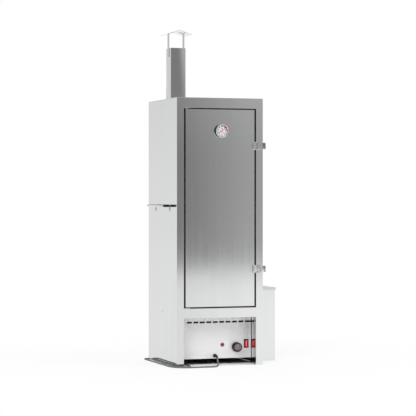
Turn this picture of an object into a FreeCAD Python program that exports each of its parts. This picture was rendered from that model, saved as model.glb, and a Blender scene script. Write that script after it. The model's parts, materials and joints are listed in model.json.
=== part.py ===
import FreeCAD, Part
import Sketcher
import math
import os

# Electric water smoker: an insulated steel cabinet on a control plinth, with a hinged front door
# held by two toggle latches, a chimney with a gable cap and a smoke generator on its right side.
# Millimetres, +Z up, +Y towards the back. The cabinet's own datum is the middle of its front
# edge on the floor; datum_x and datum_y then move the whole assembly over its own origin.

V = FreeCAD.Vector
os.makedirs("parts", exist_ok=True)
doc = FreeCAD.newDocument("water_smoker")
sheet = doc.addObject("Spreadsheet::Sheet", "Sizes")


class Size:
    """A length that knows its value and the expression that FreeCAD keeps for it."""

    def __init__(self, text, value):
        self.text, self.value = text, float(value)

    @staticmethod
    def of(other):
        return other if isinstance(other, Size) else Size(repr(float(other)), other)

    def join(self, sign, other, value):
        return Size("(%s %s %s)" % (self.text, sign, other.text), value)

    def __add__(self, other):
        other = Size.of(other)
        return self.join("+", other, self.value + other.value)

    def __sub__(self, other):
        other = Size.of(other)
        return self.join("-", other, self.value - other.value)

    def __mul__(self, other):
        other = Size.of(other)
        return self.join("*", other, self.value * other.value)

    def __truediv__(self, other):
        other = Size.of(other)
        return self.join("/", other, self.value / other.value)

    def __radd__(self, other):
        return Size.of(other) + self

    def __rsub__(self, other):
        return Size.of(other) - self

    def __rmul__(self, other):
        return Size.of(other) * self

    def __neg__(self):
        return Size("(0 - %s)" % self.text, -self.value)


row = [0]


def size(name, value, note=""):
    """One named cell of the sheet. A Size as value makes it a formula cell."""
    row[0] += 1
    sheet.set("A%d" % row[0], name)
    if isinstance(value, Size):
        sheet.set("B%d" % row[0], "=" + value.text.replace("Sizes.", ""))
        number = value.value
    else:
        sheet.set("B%d" % row[0], repr(value))
        number = value
    sheet.set("C%d" % row[0], note)
    sheet.setAlias("B%d" % row[0], name)
    return Size("Sizes." + name, number)


# --- the cabinet
cab_w = size("cabinet_width", 400.0)
cab_d = size("cabinet_depth", 430.0)
cab_h = size("cabinet_height", 1180.0)
skin = size("outer_sheet", 1.5)
liner = size("liner_sheet", 1.2)
post = size("post_width", 32.0, "front post, and so the insulated wall")
head = size("head_rail", 45.0, "front face above the door")
deck_z = size("chamber_floor_level", 255.0)
rail = size("middle_rail", 43.0, "front face between the door and the plinth")
recess = size("plinth_recess", 83.0, "control panel behind the front face")
panel_low = size("panel_bottom_level", 25.5)
shelf_z = size("plinth_shelf_level", 52.0, "plinth floor behind the front trough")
trough = size("trough_depth", 46.0, "low front part of the plinth floor")
slide = size("sliding_clearance", 0.3, "between pieces that pass each other")
# --- the door
door_t = size("door_thickness", 30.0)
gap_side = size("door_gap_side", 8.0)
gap_end = size("door_gap_end", 6.5)
seal_t = size("seal_thickness", 5.0)
seal_w = size("seal_width", 10.0)
stop_w = size("stop_flange_width", 26.0)
pivot_in = size("pivot_from_door_edge", 8.0)
pivot_y = size("pivot_behind_face", 12.5)
pivot_pin = size("pivot_pin_diameter", 8.0)
pivot_play = size("pivot_running_clearance", 0.1, "on the diameter")
pivot_depth = size("pivot_engagement", 11.0)
pivot_plate = size("pivot_plate_thickness", 2.0)
# --- the toggle latches
latch_in = size("latch_from_side", 15.5)
latch_drop = size("upper_latch_below_door_top", 158.5)
latch_rise = size("lower_latch_above_door_bottom", 163.5)
base_w = size("latch_base_width", 29.0)
base_h = size("latch_base_height", 38.0)
latch_t = size("latch_sheet", 1.5)
ear_in = size("ear_inner_half", 11.0)
lever_in = size("lever_wall_inner_half", 12.8)
bail_z = size("bail_wire_half_spacing", 16.3)
bail_wire = size("bail_wire_diameter", 2.8)
lever_pin = size("lever_pin_diameter", 4.0)
pin_play = size("latch_pin_clearance", 0.2, "on the diameter")
lever_x = size("lever_pin_from_centre", 6.0)
lever_out = size("lever_pin_proud", 9.0)
link_y = size("bail_pin_below_lever_pin", 3.5)
lever_tip = size("lever_tip_reach", 22.0)
lever_face = size("lever_face_proud", 15.0)
lug_h = size("keeper_lug_height", 8.6)
lug_t = size("keeper_lug_thickness", 3.0)
lug_in = size("keeper_lug_from_door_edge", 3.0)
lug_play = size("keeper_lug_clearance", 1.0)
keeper_w = size("keeper_width", 17.0)
keeper_h = size("keeper_height", 30.0)
lug_w = size("keeper_lug_width", 22.0)
# --- the chimney
flue = size("flue_width", 70.0)
flue_in = size("flue_from_left_side", 89.5)
flue_back = size("flue_from_back", 132.0)
flue_h = size("flue_height_above_roof", 238.0)
flue_lip = size("flue_flange_width", 14.0)
cap_w = size("cap_width", 117.0)
cap_d = size("cap_depth", 118.0)
cap_gap = size("cap_eave_above_flue", 60.0)
cap_rise = size("cap_rise", 19.5)
strap_w = size("cap_strap_width", 24.0)
strap_t = size("cap_strap_thickness", 1.5)
strap_lap = size("cap_strap_lap", 40.0, "down the flue's side")
rivet_d = size("rivet_diameter", 9.0)
rivet_t = size("rivet_head_height", 2.0)
rivet_in = size("rivet_from_sheet_edge", 23.0)
# --- the carrying handles
rod = size("handle_rod", 10.0)
grip_len = size("handle_length", 210.0)
grip_out = size("handle_standoff", 41.0)
grip_drop = size("handle_below_roof", 475.0)
foot_z = size("handle_foot_height", 34.0)
foot_w = size("handle_foot_width", 13.0)
foot_t = size("handle_foot_sheet", 2.0)
# --- racks, rails and pan
rack_side = size("rack_gap_at_side", 30.0)
rack_front = size("rack_from_front", 55.0)
rack_back = size("rack_gap_at_back", 13.0)
rack_hoop = size("rack_hoop_rod", 6.0)
rack_wire = size("rack_cross_rod", 3.0)
rail_leg = size("rail_leg", 36.0)
rail_t = size("rail_sheet", 1.5)
rail_post = size("rail_upright_width", 20.0)
pan_d = size("pan_depth", 55.0)
pan_wall = size("pan_sheet", 1.2)
pan_rim = size("pan_rim_width", 10.0)
pan_corner = size("pan_corner", 16.0)
level_pitch = size("rack_spacing", 170.0)
level_rise = size("lowest_rail_above_floor", 165.0)
# --- heating element
element_rise = size("element_above_floor", 62.0)
element_w = size("element_width", 190.0)
element_d = size("element_depth", 240.0)
element_back = size("element_from_back", 68.0)
element_ends = size("element_end_spacing", 64.0)
element_rod = size("element_rod", 8.0)
prop_back = size("element_prop_from_back", 150.0)
# --- control panel fittings
knob_d = size("knob_diameter", 44.0)
knob_t = size("knob_height", 20.0)
knob_rim = size("knob_rim_width", 5.0, "round the dished face")
flute_d = size("knob_flute_diameter", 3.0)
knob_left = size("knob_left_of_rocker", 46.5)
knob_z = size("knob_level", 74.0)
shaft_d = size("thermostat_shaft", 6.0)
rocker_in = size("rocker_from_recess_side", 17.0)
rocker_z = size("rocker_level", 88.5)
bezel_w = size("rocker_bezel_width", 22.0)
bezel_h = size("rocker_bezel_height", 39.0)
lamp_x = size("lamp_right_of_centre", 38.0)
lamp_z = size("lamp_level", 86.0)
lamp_d = size("lamp_diameter", 19.0)
lamp_rim = size("lamp_rim_width", 1.2)
slot_w = size("vent_slot_width", 23.0)
slot_h = size("vent_slot_height", 7.5)
slot_pitch = size("vent_slot_pitch", 30.3)
slot_drop = size("vent_slots_below_recess_top", 24.5)
slot_x = size("first_slot_left_of_centre", 116.0)
# --- thermometer
dial_d = size("thermometer_diameter", 59.0)
dial_drop = size("thermometer_below_door_top", 94.5)
dial_x = size("thermometer_right_of_centre", 4.5)
case_t = size("thermometer_case_depth", 18.0)
stem_d = size("thermometer_stem", 6.0)
stem_l = size("thermometer_stem_reach", 75.0, "inside the chamber, from the door's back")
# --- smoke generator
gen_y = size("generator_front", 165.0)
gen_w = size("generator_width", 120.0)
gen_d = size("generator_depth", 200.0)
gen_over = size("generator_top_above_duct", 31.0)
lid_over = size("generator_lid_overhang", 3.0)
lid_skirt = size("generator_lid_skirt", 10.0)
duct_d = size("duct_diameter", 40.0)
duct_rise = size("duct_above_chamber_floor", 45.0)
gen_pin = size("lid_pin_diameter", 4.0)
tray_z = size("ash_tray_level", 62.0)
tray_h = size("ash_tray_height", 26.0)
tray_play = size("ash_tray_clearance", 4.0)
hop_rise = size("hopper_above_tray_level", 56.0)
hop_hang = size("hopper_hanger_rise", 120.0)
thin = size("generator_inner_sheet", 1.0)
# --- mains lead
cord_d = size("cord_diameter", 7.0)
gland_x = size("gland_right_of_centre", 3.0)
gland_z = size("gland_level", 38.0)
gland_d = size("gland_diameter", 18.0)
coil_d = size("coil_diameter", 84.0)
coil_turns = size("coil_turns", 3.0)
plug_d = size("plug_diameter", 38.0)

half = cab_w / 2
door_w = cab_w - 2 * post - 2 * gap_side
door_low = deck_z + gap_end
door_top = cab_h - head - gap_end
inside = half - post
back_in = cab_d - post
roof_z = cab_h - skin
edge = door_w / 2
latch_x = half - latch_in
latch_top = door_top - latch_drop
latch_low = door_low + latch_rise
lug_right = edge - lug_in
bail_len = latch_x + bail_wire / 2 + lug_play + lug_t - lug_right
flue_x = half - flue_in
flue_y = cab_d - flue_back
flue_top = cab_h + flue_h
cap_eave = flue_top + cap_gap
grip_z = cab_h - grip_drop
rack_w = 2 * (inside - rack_side)
rack_d = back_in - rack_front - rack_back
level_low = deck_z + level_rise
rocker_x = inside - rocker_in
knob_x = rocker_x - knob_left
slot_z = deck_z - rail - slot_drop
dial_z = door_top - dial_drop
duct_z = deck_z + duct_rise
gen_h = duct_z + gen_over
# The outer box runs from the handle on the left to the generator's lid on the right, and from
# the latch levers in front to the cabinet's back.
left_end = half + grip_out + rod / 2
right_end = half + gen_w + lid_over
front_end = case_t + skin
datum_x = size("datum_x", (left_end - right_end) / 2)
datum_y = size("datum_y", (front_end - cab_d) / 2)

nodes = []


def num(value):
    return Size.of(value).value


def bind(thing, path, value):
    """Ties one property of a feature to the sheet, or sets it where it is a plain number."""
    thing.setExpression(path, Size.of(value).text)


def piece(name, x=0, y=0, z=0, turn=None):
    """A sub-part: one body, placed from the cabinet's datum."""
    body = doc.addObject("PartDesign::Body", name)
    body.Label = name
    if turn:
        body.Placement = FreeCAD.Placement(V(0, 0, 0), turn)
    bind(body, "Placement.Base.x", datum_x + x)
    bind(body, "Placement.Base.y", datum_y + y)
    bind(body, "Placement.Base.z", Size.of(z))
    nodes.append(body)
    return body


def sketch(body, plane, at):
    """A sketch on one of the body's own planes, moved along that plane's axis to at."""
    sk = body.newObject("Sketcher::SketchObject", body.Label + "_sketch")
    for feature in body.Origin.OriginFeatures:
        if feature.Role == plane + "_Plane":
            sk.AttachmentSupport = [(feature, "")]
    sk.MapMode = "FlatFace"
    bind(sk, "AttachmentOffset.Base.z", -Size.of(at) if plane == "XZ" else at)
    return sk


def outline(sk, points):
    """A closed polygon whose corners are each held by two named distances."""
    first, count = sk.GeometryCount, len(points)
    spots = [V(num(u), num(v), 0) for u, v in points]
    sk.addGeometry([Part.LineSegment(spots[i], spots[(i + 1) % count]) for i in range(count)], False)
    sk.addConstraint([Sketcher.Constraint("Coincident", first + i, 2, first + (i + 1) % count, 1)
                      for i in range(count)])
    for i, (u, v) in enumerate(points):
        for kind, value in (("DistanceX", u), ("DistanceY", v)):
            index = sk.addConstraint(Sketcher.Constraint(kind, -1, 1, first + i, 1, num(value)))
            bind(sk, "Constraints[%d]" % index, value)
    return sk


def rectangle(sk, u0, v0, u1, v1):
    """A rectangle held by its four sides."""
    g = sk.GeometryCount
    a, b, c, d = [V(num(u), num(v), 0) for u, v in ((u0, v0), (u1, v0), (u1, v1), (u0, v1))]
    sk.addGeometry([Part.LineSegment(a, b), Part.LineSegment(b, c),
                    Part.LineSegment(c, d), Part.LineSegment(d, a)], False)
    sk.addConstraint([Sketcher.Constraint("Coincident", g + i, 2, g + (i + 1) % 4, 1)
                      for i in range(4)]
                     + [Sketcher.Constraint("Horizontal", g), Sketcher.Constraint("Horizontal", g + 2),
                        Sketcher.Constraint("Vertical", g + 1), Sketcher.Constraint("Vertical", g + 3)])
    for kind, line, value in (("DistanceX", 0, u0), ("DistanceY", 0, v0),
                              ("DistanceX", 2, u1), ("DistanceY", 2, v1)):
        index = sk.addConstraint(Sketcher.Constraint(kind, -1, 1, g + line, 1, num(value)))
        bind(sk, "Constraints[%d]" % index, value)
    return sk


def circle(sk, u, v, diameter):
    """A circle held by its centre and its diameter."""
    g = sk.addGeometry(Part.Circle(V(num(u), num(v), 0), V(0, 0, 1), num(diameter) / 2), False)
    for kind, value in (("DistanceX", u), ("DistanceY", v)):
        index = sk.addConstraint(Sketcher.Constraint(kind, -1, 1, g, 3, num(value)))
        bind(sk, "Constraints[%d]" % index, value)
    index = sk.addConstraint(Sketcher.Constraint("Diameter", g, num(diameter)))
    bind(sk, "Constraints[%d]" % index, diameter)
    return sk


def sweep_out(body, kind, sk, length, reverse=False):
    feature = body.newObject("PartDesign::" + kind, body.Label + "_" + kind.lower())
    feature.Profile = sk
    bind(feature, "Length", length)
    feature.Reversed = reverse
    sk.Visibility = False
    body.Tip = feature
    return feature


def block(body, plane, low, high, draw):
    """Adds a prism between two levels of a plane. draw fills its sketch."""
    sk = sketch(body, plane, high if plane == "XZ" else low)
    draw(sk)
    return sweep_out(body, "Pad", sk, Size.of(high) - low)


def cut(body, plane, low, high, draw):
    """Cuts a prism between two levels of a plane."""
    sk = sketch(body, plane, high if plane == "XZ" else low)
    draw(sk)
    return sweep_out(body, "Pocket", sk, Size.of(high) - low, True)


def slab(name, x0, x1, y0, y1, z0, z1):
    """A flat sheet or block with square edges."""
    body = piece(name)
    block(body, "XY", z0, z1, lambda sk: rectangle(sk, x0, y0, x1, y1))
    return body


def turned(body, plane, axis, points, kind="Revolution"):
    """A turned form: the outline goes round the sketch's own V or H axis."""
    sk = outline(sketch(body, plane, 0), points)
    feature = body.newObject("PartDesign::" + kind, body.Label + "_turned")
    feature.Profile = sk
    feature.ReferenceAxis = (sk, [axis])
    feature.Angle = 360
    sk.Visibility = False
    body.Tip = feature
    return feature


def round_edges(body, radius, wanted, kind="Fillet"):
    """Rounds the edges of the tip that wanted(edge) picks."""
    doc.recompute()
    base = body.Tip
    names = ["Edge%d" % (i + 1) for i, edge in enumerate(base.Shape.Edges) if wanted(edge)]
    feature = body.newObject("PartDesign::" + kind, body.Label + "_" + kind.lower())
    feature.Base = (base, names)
    bind(feature, "Radius" if kind == "Fillet" else "Size", radius)
    body.Tip = feature
    return feature


def around(body, feature, count):
    """Repeats a cut evenly about its own sketch's normal."""
    pattern = body.newObject("PartDesign::PolarPattern", body.Label + "_pattern")
    pattern.Originals = [feature]
    pattern.Axis = (feature.Profile[0], ["N_Axis"])
    pattern.Angle = 360
    pattern.Occurrences = count
    body.Tip = pattern
    return pattern


def wire_path(points, radius):
    """Straight runs joined by tangent arcs, as one wire."""
    spots = [V(*[num(c) for c in point]) for point in points]
    edges, start = [], spots[0]
    for i in range(1, len(spots) - 1):
        here = spots[i]
        way_in, way_out = (here - spots[i - 1]).normalize(), (spots[i + 1] - here).normalize()
        turn = way_in.getAngle(way_out)
        bend = radius[i - 1] if isinstance(radius, list) else radius
        reach = bend * math.tan(turn / 2)
        enter, leave = here - way_in * reach, here + way_out * reach
        middle = here + (way_out - way_in).normalize() * (bend / math.cos(turn / 2) - bend)
        edges += [Part.LineSegment(start, enter).toShape(), Part.Arc(enter, middle, leave).toShape()]
        start = leave
    edges.append(Part.LineSegment(start, spots[-1]).toShape())
    return Part.Wire(edges)


def bent_rod(name, points, diameter, bend, welded=()):
    """A round rod along a wire of runs and arcs, with what is welded to it."""
    path = wire_path(points, bend)
    first = path.Edges[0]
    toward = first.tangentAt(first.FirstParameter)
    ring = Part.Wire(Part.Circle(first.valueAt(first.FirstParameter), toward, num(diameter) / 2).toShape())
    body = doc.addObject("Part::Feature", name)
    body.Label = name
    tube = path.makePipe(Part.Face(ring))
    section = math.pi * num(diameter) ** 2 / 4
    print("%s length %.1f volume ratio %.5f" % (name, path.Length, tube.Volume / (section * path.Length)))
    body.Shape = tube.multiFuse(list(welded)) if welded else tube
    bind(body, "Placement.Base.x", datum_x)
    bind(body, "Placement.Base.y", datum_y)
    nodes.append(body)
    return body


# ---------------------------------------------------------------- cabinet shell
casing = piece("outer_casing")
block(casing, "XY", 0, roof_z, lambda sk: outline(sk, [
    (-half, skin), (-half, cab_d), (half, cab_d), (half, skin),
    (half - skin, skin), (half - skin, cab_d - skin), (skin - half, cab_d - skin), (skin - half, skin)]))
duct_y = gen_y + gen_d / 2
cut(casing, "YZ", half - skin, half, lambda sk: circle(sk, duct_y, duct_z, duct_d + 2 * slide))

roof = piece("roof_panel")
block(roof, "XY", roof_z, cab_h, lambda sk: rectangle(sk, -half, 0, half, cab_d))
flue_hole = flue / 2 + slide


def flue_opening(sk):
    rectangle(sk, -flue_x - flue_hole, flue_y - flue_hole, flue_hole - flue_x, flue_y + flue_hole)


cut(roof, "XY", roof_z, cab_h, flue_opening)

frame = piece("front_frame")
block(frame, "XZ", 0, skin, lambda sk: outline(sk, [
    (-half, 0), (-inside, 0), (-inside, deck_z - rail), (inside, deck_z - rail), (inside, 0), (half, 0),
    (half, roof_z), (-half, roof_z)]))
cut(frame, "XZ", 0, skin, lambda sk: rectangle(sk, -inside, deck_z, inside, cab_h - head))

lining = piece("plinth_lining")
plinth_top = deck_z - rail
block(lining, "XZ", skin, recess, lambda sk: outline(sk, [
    (-inside - liner, 0), (-inside, 0), (-inside, plinth_top), (inside, plinth_top), (inside, 0),
    (inside + liner, 0), (inside + liner, plinth_top + liner), (-inside - liner, plinth_top + liner)]))
block(lining, "XY", plinth_top, plinth_top + liner,
      lambda sk: rectangle(sk, skin - half, recess, half - skin, cab_d - skin))

walls = piece("chamber_liner")
block(walls, "XY", deck_z, cab_h - head, lambda sk: outline(sk, [
    (-inside - liner, skin), (-inside - liner, back_in + liner), (inside + liner, back_in + liner),
    (inside + liner, skin), (inside, skin), (inside, back_in), (-inside, back_in), (-inside, skin)]))
cut(walls, "YZ", inside, inside + liner, lambda sk: circle(sk, duct_y, duct_z, duct_d + 2 * slide))

ceiling_z = cab_h - head
for z0 in (deck_z - liner, ceiling_z):
    block(walls, "XY", z0, z0 + liner, lambda sk: rectangle(
        sk, -inside - liner, skin, inside + liner, back_in + liner))
cut(walls, "XY", ceiling_z, ceiling_z + liner, flue_opening)

stop_y = door_t + seal_t
stop = piece("door_stop_flange")
block(stop, "XZ", stop_y, stop_y + liner, lambda sk: rectangle(sk, -inside, deck_z, inside, ceiling_z))
open_x = inside - stop_w
cut(stop, "XZ", stop_y, stop_y + liner,
    lambda sk: rectangle(sk, -open_x, deck_z + stop_w, open_x, ceiling_z - stop_w))

wool = piece("cabinet_insulation")
block(wool, "XY", plinth_top + liner, roof_z, lambda sk: outline(sk, [
    (skin - half, skin), (skin - half, cab_d - skin), (half - skin, cab_d - skin), (half - skin, skin),
    (inside + liner, skin), (inside + liner, back_in + liner), (-inside - liner, back_in + liner),
    (-inside - liner, skin)]))
cut(wool, "YZ", inside, half, lambda sk: circle(sk, duct_y, duct_z, duct_d + 2 * slide))
for z0, z1 in ((ceiling_z + liner, roof_z), (plinth_top + liner, deck_z - liner)):
    block(wool, "XY", z0, z1, lambda sk: rectangle(sk, -inside - liner, skin, inside + liner, back_in + liner))
cut(wool, "XY", ceiling_z + liner, roof_z, flue_opening)

# ---------------------------------------------------------------- plinth and its controls
panel = piece("control_panel")
block(panel, "XZ", recess, recess + skin,
      lambda sk: rectangle(sk, skin - half, panel_low, half - skin, plinth_top))
slot_count = 10


def slots(sk):
    for i in range(slot_count):
        u = slot_pitch * i - slot_x
        rectangle(sk, u - slot_w / 2, slot_z - slot_h / 2, u + slot_w / 2, slot_z + slot_h / 2)


cut(panel, "XZ", recess, recess + skin, slots)
body_w = bezel_w - 4
body_h = bezel_h - 4


def fittings(sk):
    circle(sk, lamp_x, lamp_z, lamp_d - 2 * lamp_rim)
    circle(sk, knob_x, knob_z, shaft_d + 2)
    circle(sk, gland_x, gland_z, gland_d - 5)
    rectangle(sk, rocker_x - body_w / 2, rocker_z - body_h / 2, rocker_x + body_w / 2, rocker_z + body_h / 2)


cut(panel, "XZ", recess, recess + skin, fittings)

behind = recess + skin
floor_pan = piece("plinth_floor")
step_y = behind + trough
block(floor_pan, "YZ", skin - half, half - skin, lambda sk: outline(sk, [
    (behind, panel_low), (step_y, panel_low), (step_y, shelf_z), (cab_d - skin, shelf_z),
    (cab_d - skin, shelf_z + skin), (step_y - skin, shelf_z + skin), (step_y - skin, panel_low + skin),
    (behind, panel_low + skin)]))

stat = piece("thermostat_body", knob_x, behind, knob_z)
block(stat, "XZ", 0, 32, lambda sk: rectangle(sk, -21, -21, 21, 21))
round_edges(stat, 3, lambda e: abs(e.BoundBox.YLength - 32) < 0.01)
block(stat, "XZ", -skin - 9, 0, lambda sk: circle(sk, 0, 0, shaft_d))

knob = piece("thermostat_knob", knob_x, recess - 1, knob_z)
face_r = knob_d / 2 - knob_rim
turned(knob, "XZ", "V_Axis", [
    (0, 0), (knob_d / 2, 0), (knob_d / 2 - 1, knob_t), (face_r, knob_t), (face_r - 1, knob_t - 1), (0, knob_t - 1)])
knob.Placement.Rotation = FreeCAD.Rotation(V(1, 0, 0), 90)
round_edges(knob, 1.2, lambda e: (abs(e.BoundBox.ZMin - num(knob_t)) < 0.01
                                 and e.BoundBox.XLength > num(2 * face_r + 2)))
around(knob, cut(knob, "XY", 4, knob_t, lambda sk: circle(sk, 0, knob_d / 2 + 0.8, flute_d)), 24)
cut(knob, "XY", 0, 9, lambda sk: circle(sk, 0, 0, shaft_d + pivot_play))
cut(knob, "XY", knob_t - 1, knob_t, lambda sk: rectangle(sk, -1.1, face_r - 1, 1.1, face_r + 3))

switch = piece("rocker_bezel", rocker_x, recess, rocker_z)
block(switch, "XZ", -2.5, 0, lambda sk: rectangle(sk, -bezel_w / 2, -bezel_h / 2, bezel_w / 2, bezel_h / 2))
round_edges(switch, 1.2, lambda e: abs(e.BoundBox.YMax + 2.5) < 0.01)
inner_w = body_w - 2 * slide
inner_h = body_h - 2 * slide
block(switch, "XZ", 0, 24, lambda sk: rectangle(sk, -inner_w / 2, -inner_h / 2, inner_w / 2, inner_h / 2))
paddle_w = body_w - 6
paddle_h = body_h - 7
cut(switch, "XZ", -2.5, 8, lambda sk: rectangle(
    sk, -paddle_w / 2 - slide, -paddle_h / 2 - 2, paddle_w / 2 + slide, paddle_h / 2 + 2))
cut(switch, "YZ", -inner_w / 2, inner_w / 2, lambda sk: circle(sk, 2, 0, 3 + pivot_play))

rocker = piece("rocker_switch", rocker_x, recess + 2, rocker_z)
block(rocker, "YZ", -paddle_w / 2, paddle_w / 2, lambda sk: outline(sk, [
    (-7, -paddle_h / 2), (-4.5, 0), (-9.5, paddle_h / 2), (0, paddle_h / 2 - 3), (3, 0),
    (0, 3 - paddle_h / 2)]))
block(rocker, "YZ", -inner_w / 2, inner_w / 2, lambda sk: circle(sk, 0, 0, 3))

lamp = piece("lamp_bezel", lamp_x, recess, lamp_z, FreeCAD.Rotation(V(1, 0, 0), 90))
lamp_in = lamp_d / 2 - lamp_rim
turned(lamp, "XZ", "V_Axis", [
    (lamp_in - 1, 0.8), (lamp_in - 1, -12), (lamp_in, -12), (lamp_in, 0), (lamp_d / 2, 0), (lamp_d / 2, 1.2),
    (lamp_in + 0.4, 3), (lamp_in, 3), (lamp_in, 0.8)])
lens = piece("lamp_lens", lamp_x, recess, lamp_z, FreeCAD.Rotation(V(1, 0, 0), 90))
turned(lens, "XZ", "V_Axis", [
    (0, -6), (lamp_in - 1, -6), (lamp_in - 1, 0.8), (lamp_in, 0.8), (lamp_in, 3), (lamp_in - 1.8, 4.6), (0, 5.6)])

terminals = piece("terminal_block", gland_x + 90, step_y + 90, shelf_z + skin)
block(terminals, "XY", 0, 18, lambda sk: rectangle(sk, -38, -12, 38, 12))
cut(terminals, "XY", 8, 18, lambda sk: [circle(sk, u, 0, 5) for u in (-30, -18, -6, 6, 18, 30)])

# ---------------------------------------------------------------- chamber fittings
hoop = rack_hoop / 2
rack_x = rack_w / 2 - hoop
rack_end = rack_front + rack_d
rack_y0 = rack_front + hoop
rack_y1 = rack_end - hoop
WIRES = 11


def rack(name, level):
    """A welded wire rack: a rod hoop, cross rods on it and one stiffener below them."""
    body = piece(name, 0, 0, level)
    block(body, "XY", 0, rack_hoop, lambda sk: rectangle(sk, -rack_w / 2, rack_front, rack_w / 2, rack_end))
    cut(body, "XY", 0, rack_hoop, lambda sk: rectangle(
        sk, rack_hoop - rack_w / 2, rack_front + rack_hoop, rack_w / 2 - rack_hoop, rack_end - rack_hoop))
    round_edges(body, hoop * 0.9, lambda e: abs(e.BoundBox.ZLength) < 0.01)
    pitch = 2 * rack_x / (WIRES + 1)
    sk = sketch(body, "XZ", rack_y1)
    for i in range(WIRES):
        circle(sk, pitch * (i + 1) - rack_x, hoop, rack_wire)
    sweep_out(body, "Pad", sk, rack_y1 - rack_y0)
    sk = sketch(body, "YZ", -rack_x)
    circle(sk, rack_front + rack_d / 2, hoop, rack_wire)
    sweep_out(body, "Pad", sk, 2 * rack_x)
    return body


LEVELS = 4
for i, name in enumerate(("rack_lower", "rack_middle", "rack_upper")):
    rack(name, level_low + level_pitch * (i + 1) + rail_t)


rail_y0 = rack_front + 5
rail_y1 = back_in - 18


def rack_rail(body, side):
    """Two uprights on the liner's wall with an angle at each level, as one welded frame."""
    wall, lip = side * inside, side * (inside - rail_leg)
    low, high = (wall, lip) if side < 0 else (lip, wall)
    face = (wall, wall + rail_t) if side < 0 else (wall - rail_t, wall)
    for y in (rail_y0 + rail_post, rail_y1 - 2 * rail_post):
        block(body, "YZ", face[0], face[1], lambda sk: rectangle(
            sk, y, level_low - 60, y + rail_post, level_low + level_pitch * (LEVELS - 1) + 40))
    for i in range(LEVELS):
        z = level_low + level_pitch * i
        block(body, "XY", z, z + rail_t, lambda sk: rectangle(sk, low, rail_y0, high, rail_y1))
        block(body, "YZ", face[0], face[1], lambda sk: rectangle(sk, rail_y0, z, rail_y1, z + 14))


rails = piece("rack_rails")
rack_rail(rails, -1)
rack_rail(rails, 1)


def cornered(sk, x0, y0, x1, y1, corner):
    """A rectangle with its corners taken off."""
    outline(sk, [(x0 + corner, y0), (x1 - corner, y0), (x1, y0 + corner), (x1, y1 - corner),
                 (x1 - corner, y1), (x0 + corner, y1), (x0, y1 - corner), (x0, y0 + corner)])


pan = piece("water_pan", 0, 0, level_low + rail_t)
bowl_x = inside - rail_leg - 4
pan_y0 = rail_y0
pan_y1 = rail_y1 - 10
bowl_y0, bowl_y1 = pan_y0 + pan_rim, pan_y1 - pan_rim
block(pan, "XY", 0, pan_wall, lambda sk: rectangle(sk, -rack_w / 2, pan_y0, rack_w / 2, pan_y1))
block(pan, "XY", -pan_d, 0, lambda sk: cornered(sk, -bowl_x, bowl_y0, bowl_x, bowl_y1, pan_corner))
cut(pan, "XY", pan_wall - pan_d, pan_wall, lambda sk: cornered(
    sk, pan_wall - bowl_x, bowl_y0 + pan_wall, bowl_x - pan_wall, bowl_y1 - pan_wall, pan_corner - 0.7))

element_z = deck_z + element_rise
element_x, end_x = element_w / 2, element_ends / 2
element_y1 = back_in - element_back
element_y0 = element_y1 - element_d
bent_rod("heating_element", [
    (-end_x, back_in, element_z), (-end_x, element_y1, element_z), (-element_x, element_y1, element_z),
    (-element_x, element_y0, element_z), (element_x, element_y0, element_z), (element_x, element_y1, element_z),
    (end_x, element_y1, element_z), (end_x, back_in, element_z)], element_rod, 26)
plate = piece("element_mounts", 0, back_in, element_z)
block(plate, "XZ", -2, 0, lambda sk: rectangle(sk, -end_x - 23, -16, end_x + 23, 16))
cut(plate, "XZ", -2, 0, lambda sk: [circle(sk, u, 0, element_rod) for u in (-end_x, end_x)])
for side in (-1, 1):
    x0, x1 = side * element_x - element_rod, side * element_x + element_rod
    block(plate, "XZ", -prop_back, 2 - prop_back, lambda sk: rectangle(
        sk, x0, -element_rise, x1, -element_rod / 2))
    block(plate, "XY", -element_rise, 2 - element_rise, lambda sk: rectangle(
        sk, x0, -prop_back - 20, x1, 2 - prop_back))

# ---------------------------------------------------------------- door
skin_panel = piece("door_outer_panel", 0, 0, 0)


def door_back(low, high, draw, body=skin_panel):
    return cut(body, "XZ", low, high, draw)


block(skin_panel, "XZ", 0, door_t, lambda sk: rectangle(sk, -edge, door_low, edge, door_top))
door_back(skin, door_t, lambda sk: rectangle(sk, skin - edge, door_low + skin, edge - skin, door_top - skin))
cut(skin_panel, "XZ", 0, skin, lambda sk: circle(sk, dial_x, dial_z, stem_d + 2 * slide))
hinge_x = pivot_in - edge
bore = pivot_pin + 4.4
cut(skin_panel, "XY", door_low, door_low + skin, lambda sk: circle(sk, hinge_x, pivot_y, bore))
cut(skin_panel, "XY", door_top - skin, door_top, lambda sk: circle(sk, hinge_x, pivot_y, bore))

back_sheet = piece("door_inner_panel")
block(back_sheet, "XZ", door_t - liner, door_t, lambda sk: rectangle(
    sk, skin - edge, door_low + skin, edge - skin, door_top - skin))
cut(back_sheet, "XZ", door_t - liner, door_t, lambda sk: circle(sk, dial_x, dial_z, stem_d + 2 * slide))

fill = piece("door_insulation")
clear_x = hinge_x + bore / 2 + 2
block(fill, "XZ", skin, door_t - liner, lambda sk: rectangle(
    sk, clear_x, door_low + skin, edge - skin, door_top - skin))
cut(fill, "XZ", skin, door_t - liner, lambda sk: circle(sk, dial_x, dial_z, stem_d + 2 * slide))

gasket = piece("door_seal")
seal_x = edge - pivot_in
seal_low, seal_high = deck_z + stop_w - seal_w, ceiling_z - stop_w + seal_w
block(gasket, "XZ", door_t, stop_y, lambda sk: rectangle(sk, -seal_x, seal_low, seal_x, seal_high))
cut(gasket, "XZ", door_t, stop_y, lambda sk: rectangle(
    sk, seal_w - seal_x, seal_low + seal_w, seal_x - seal_w, seal_high - seal_w))
round_edges(gasket, 1.5, lambda e: abs(e.BoundBox.YMin - num(door_t)) < 0.01 and e.BoundBox.YLength < 0.01)

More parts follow.
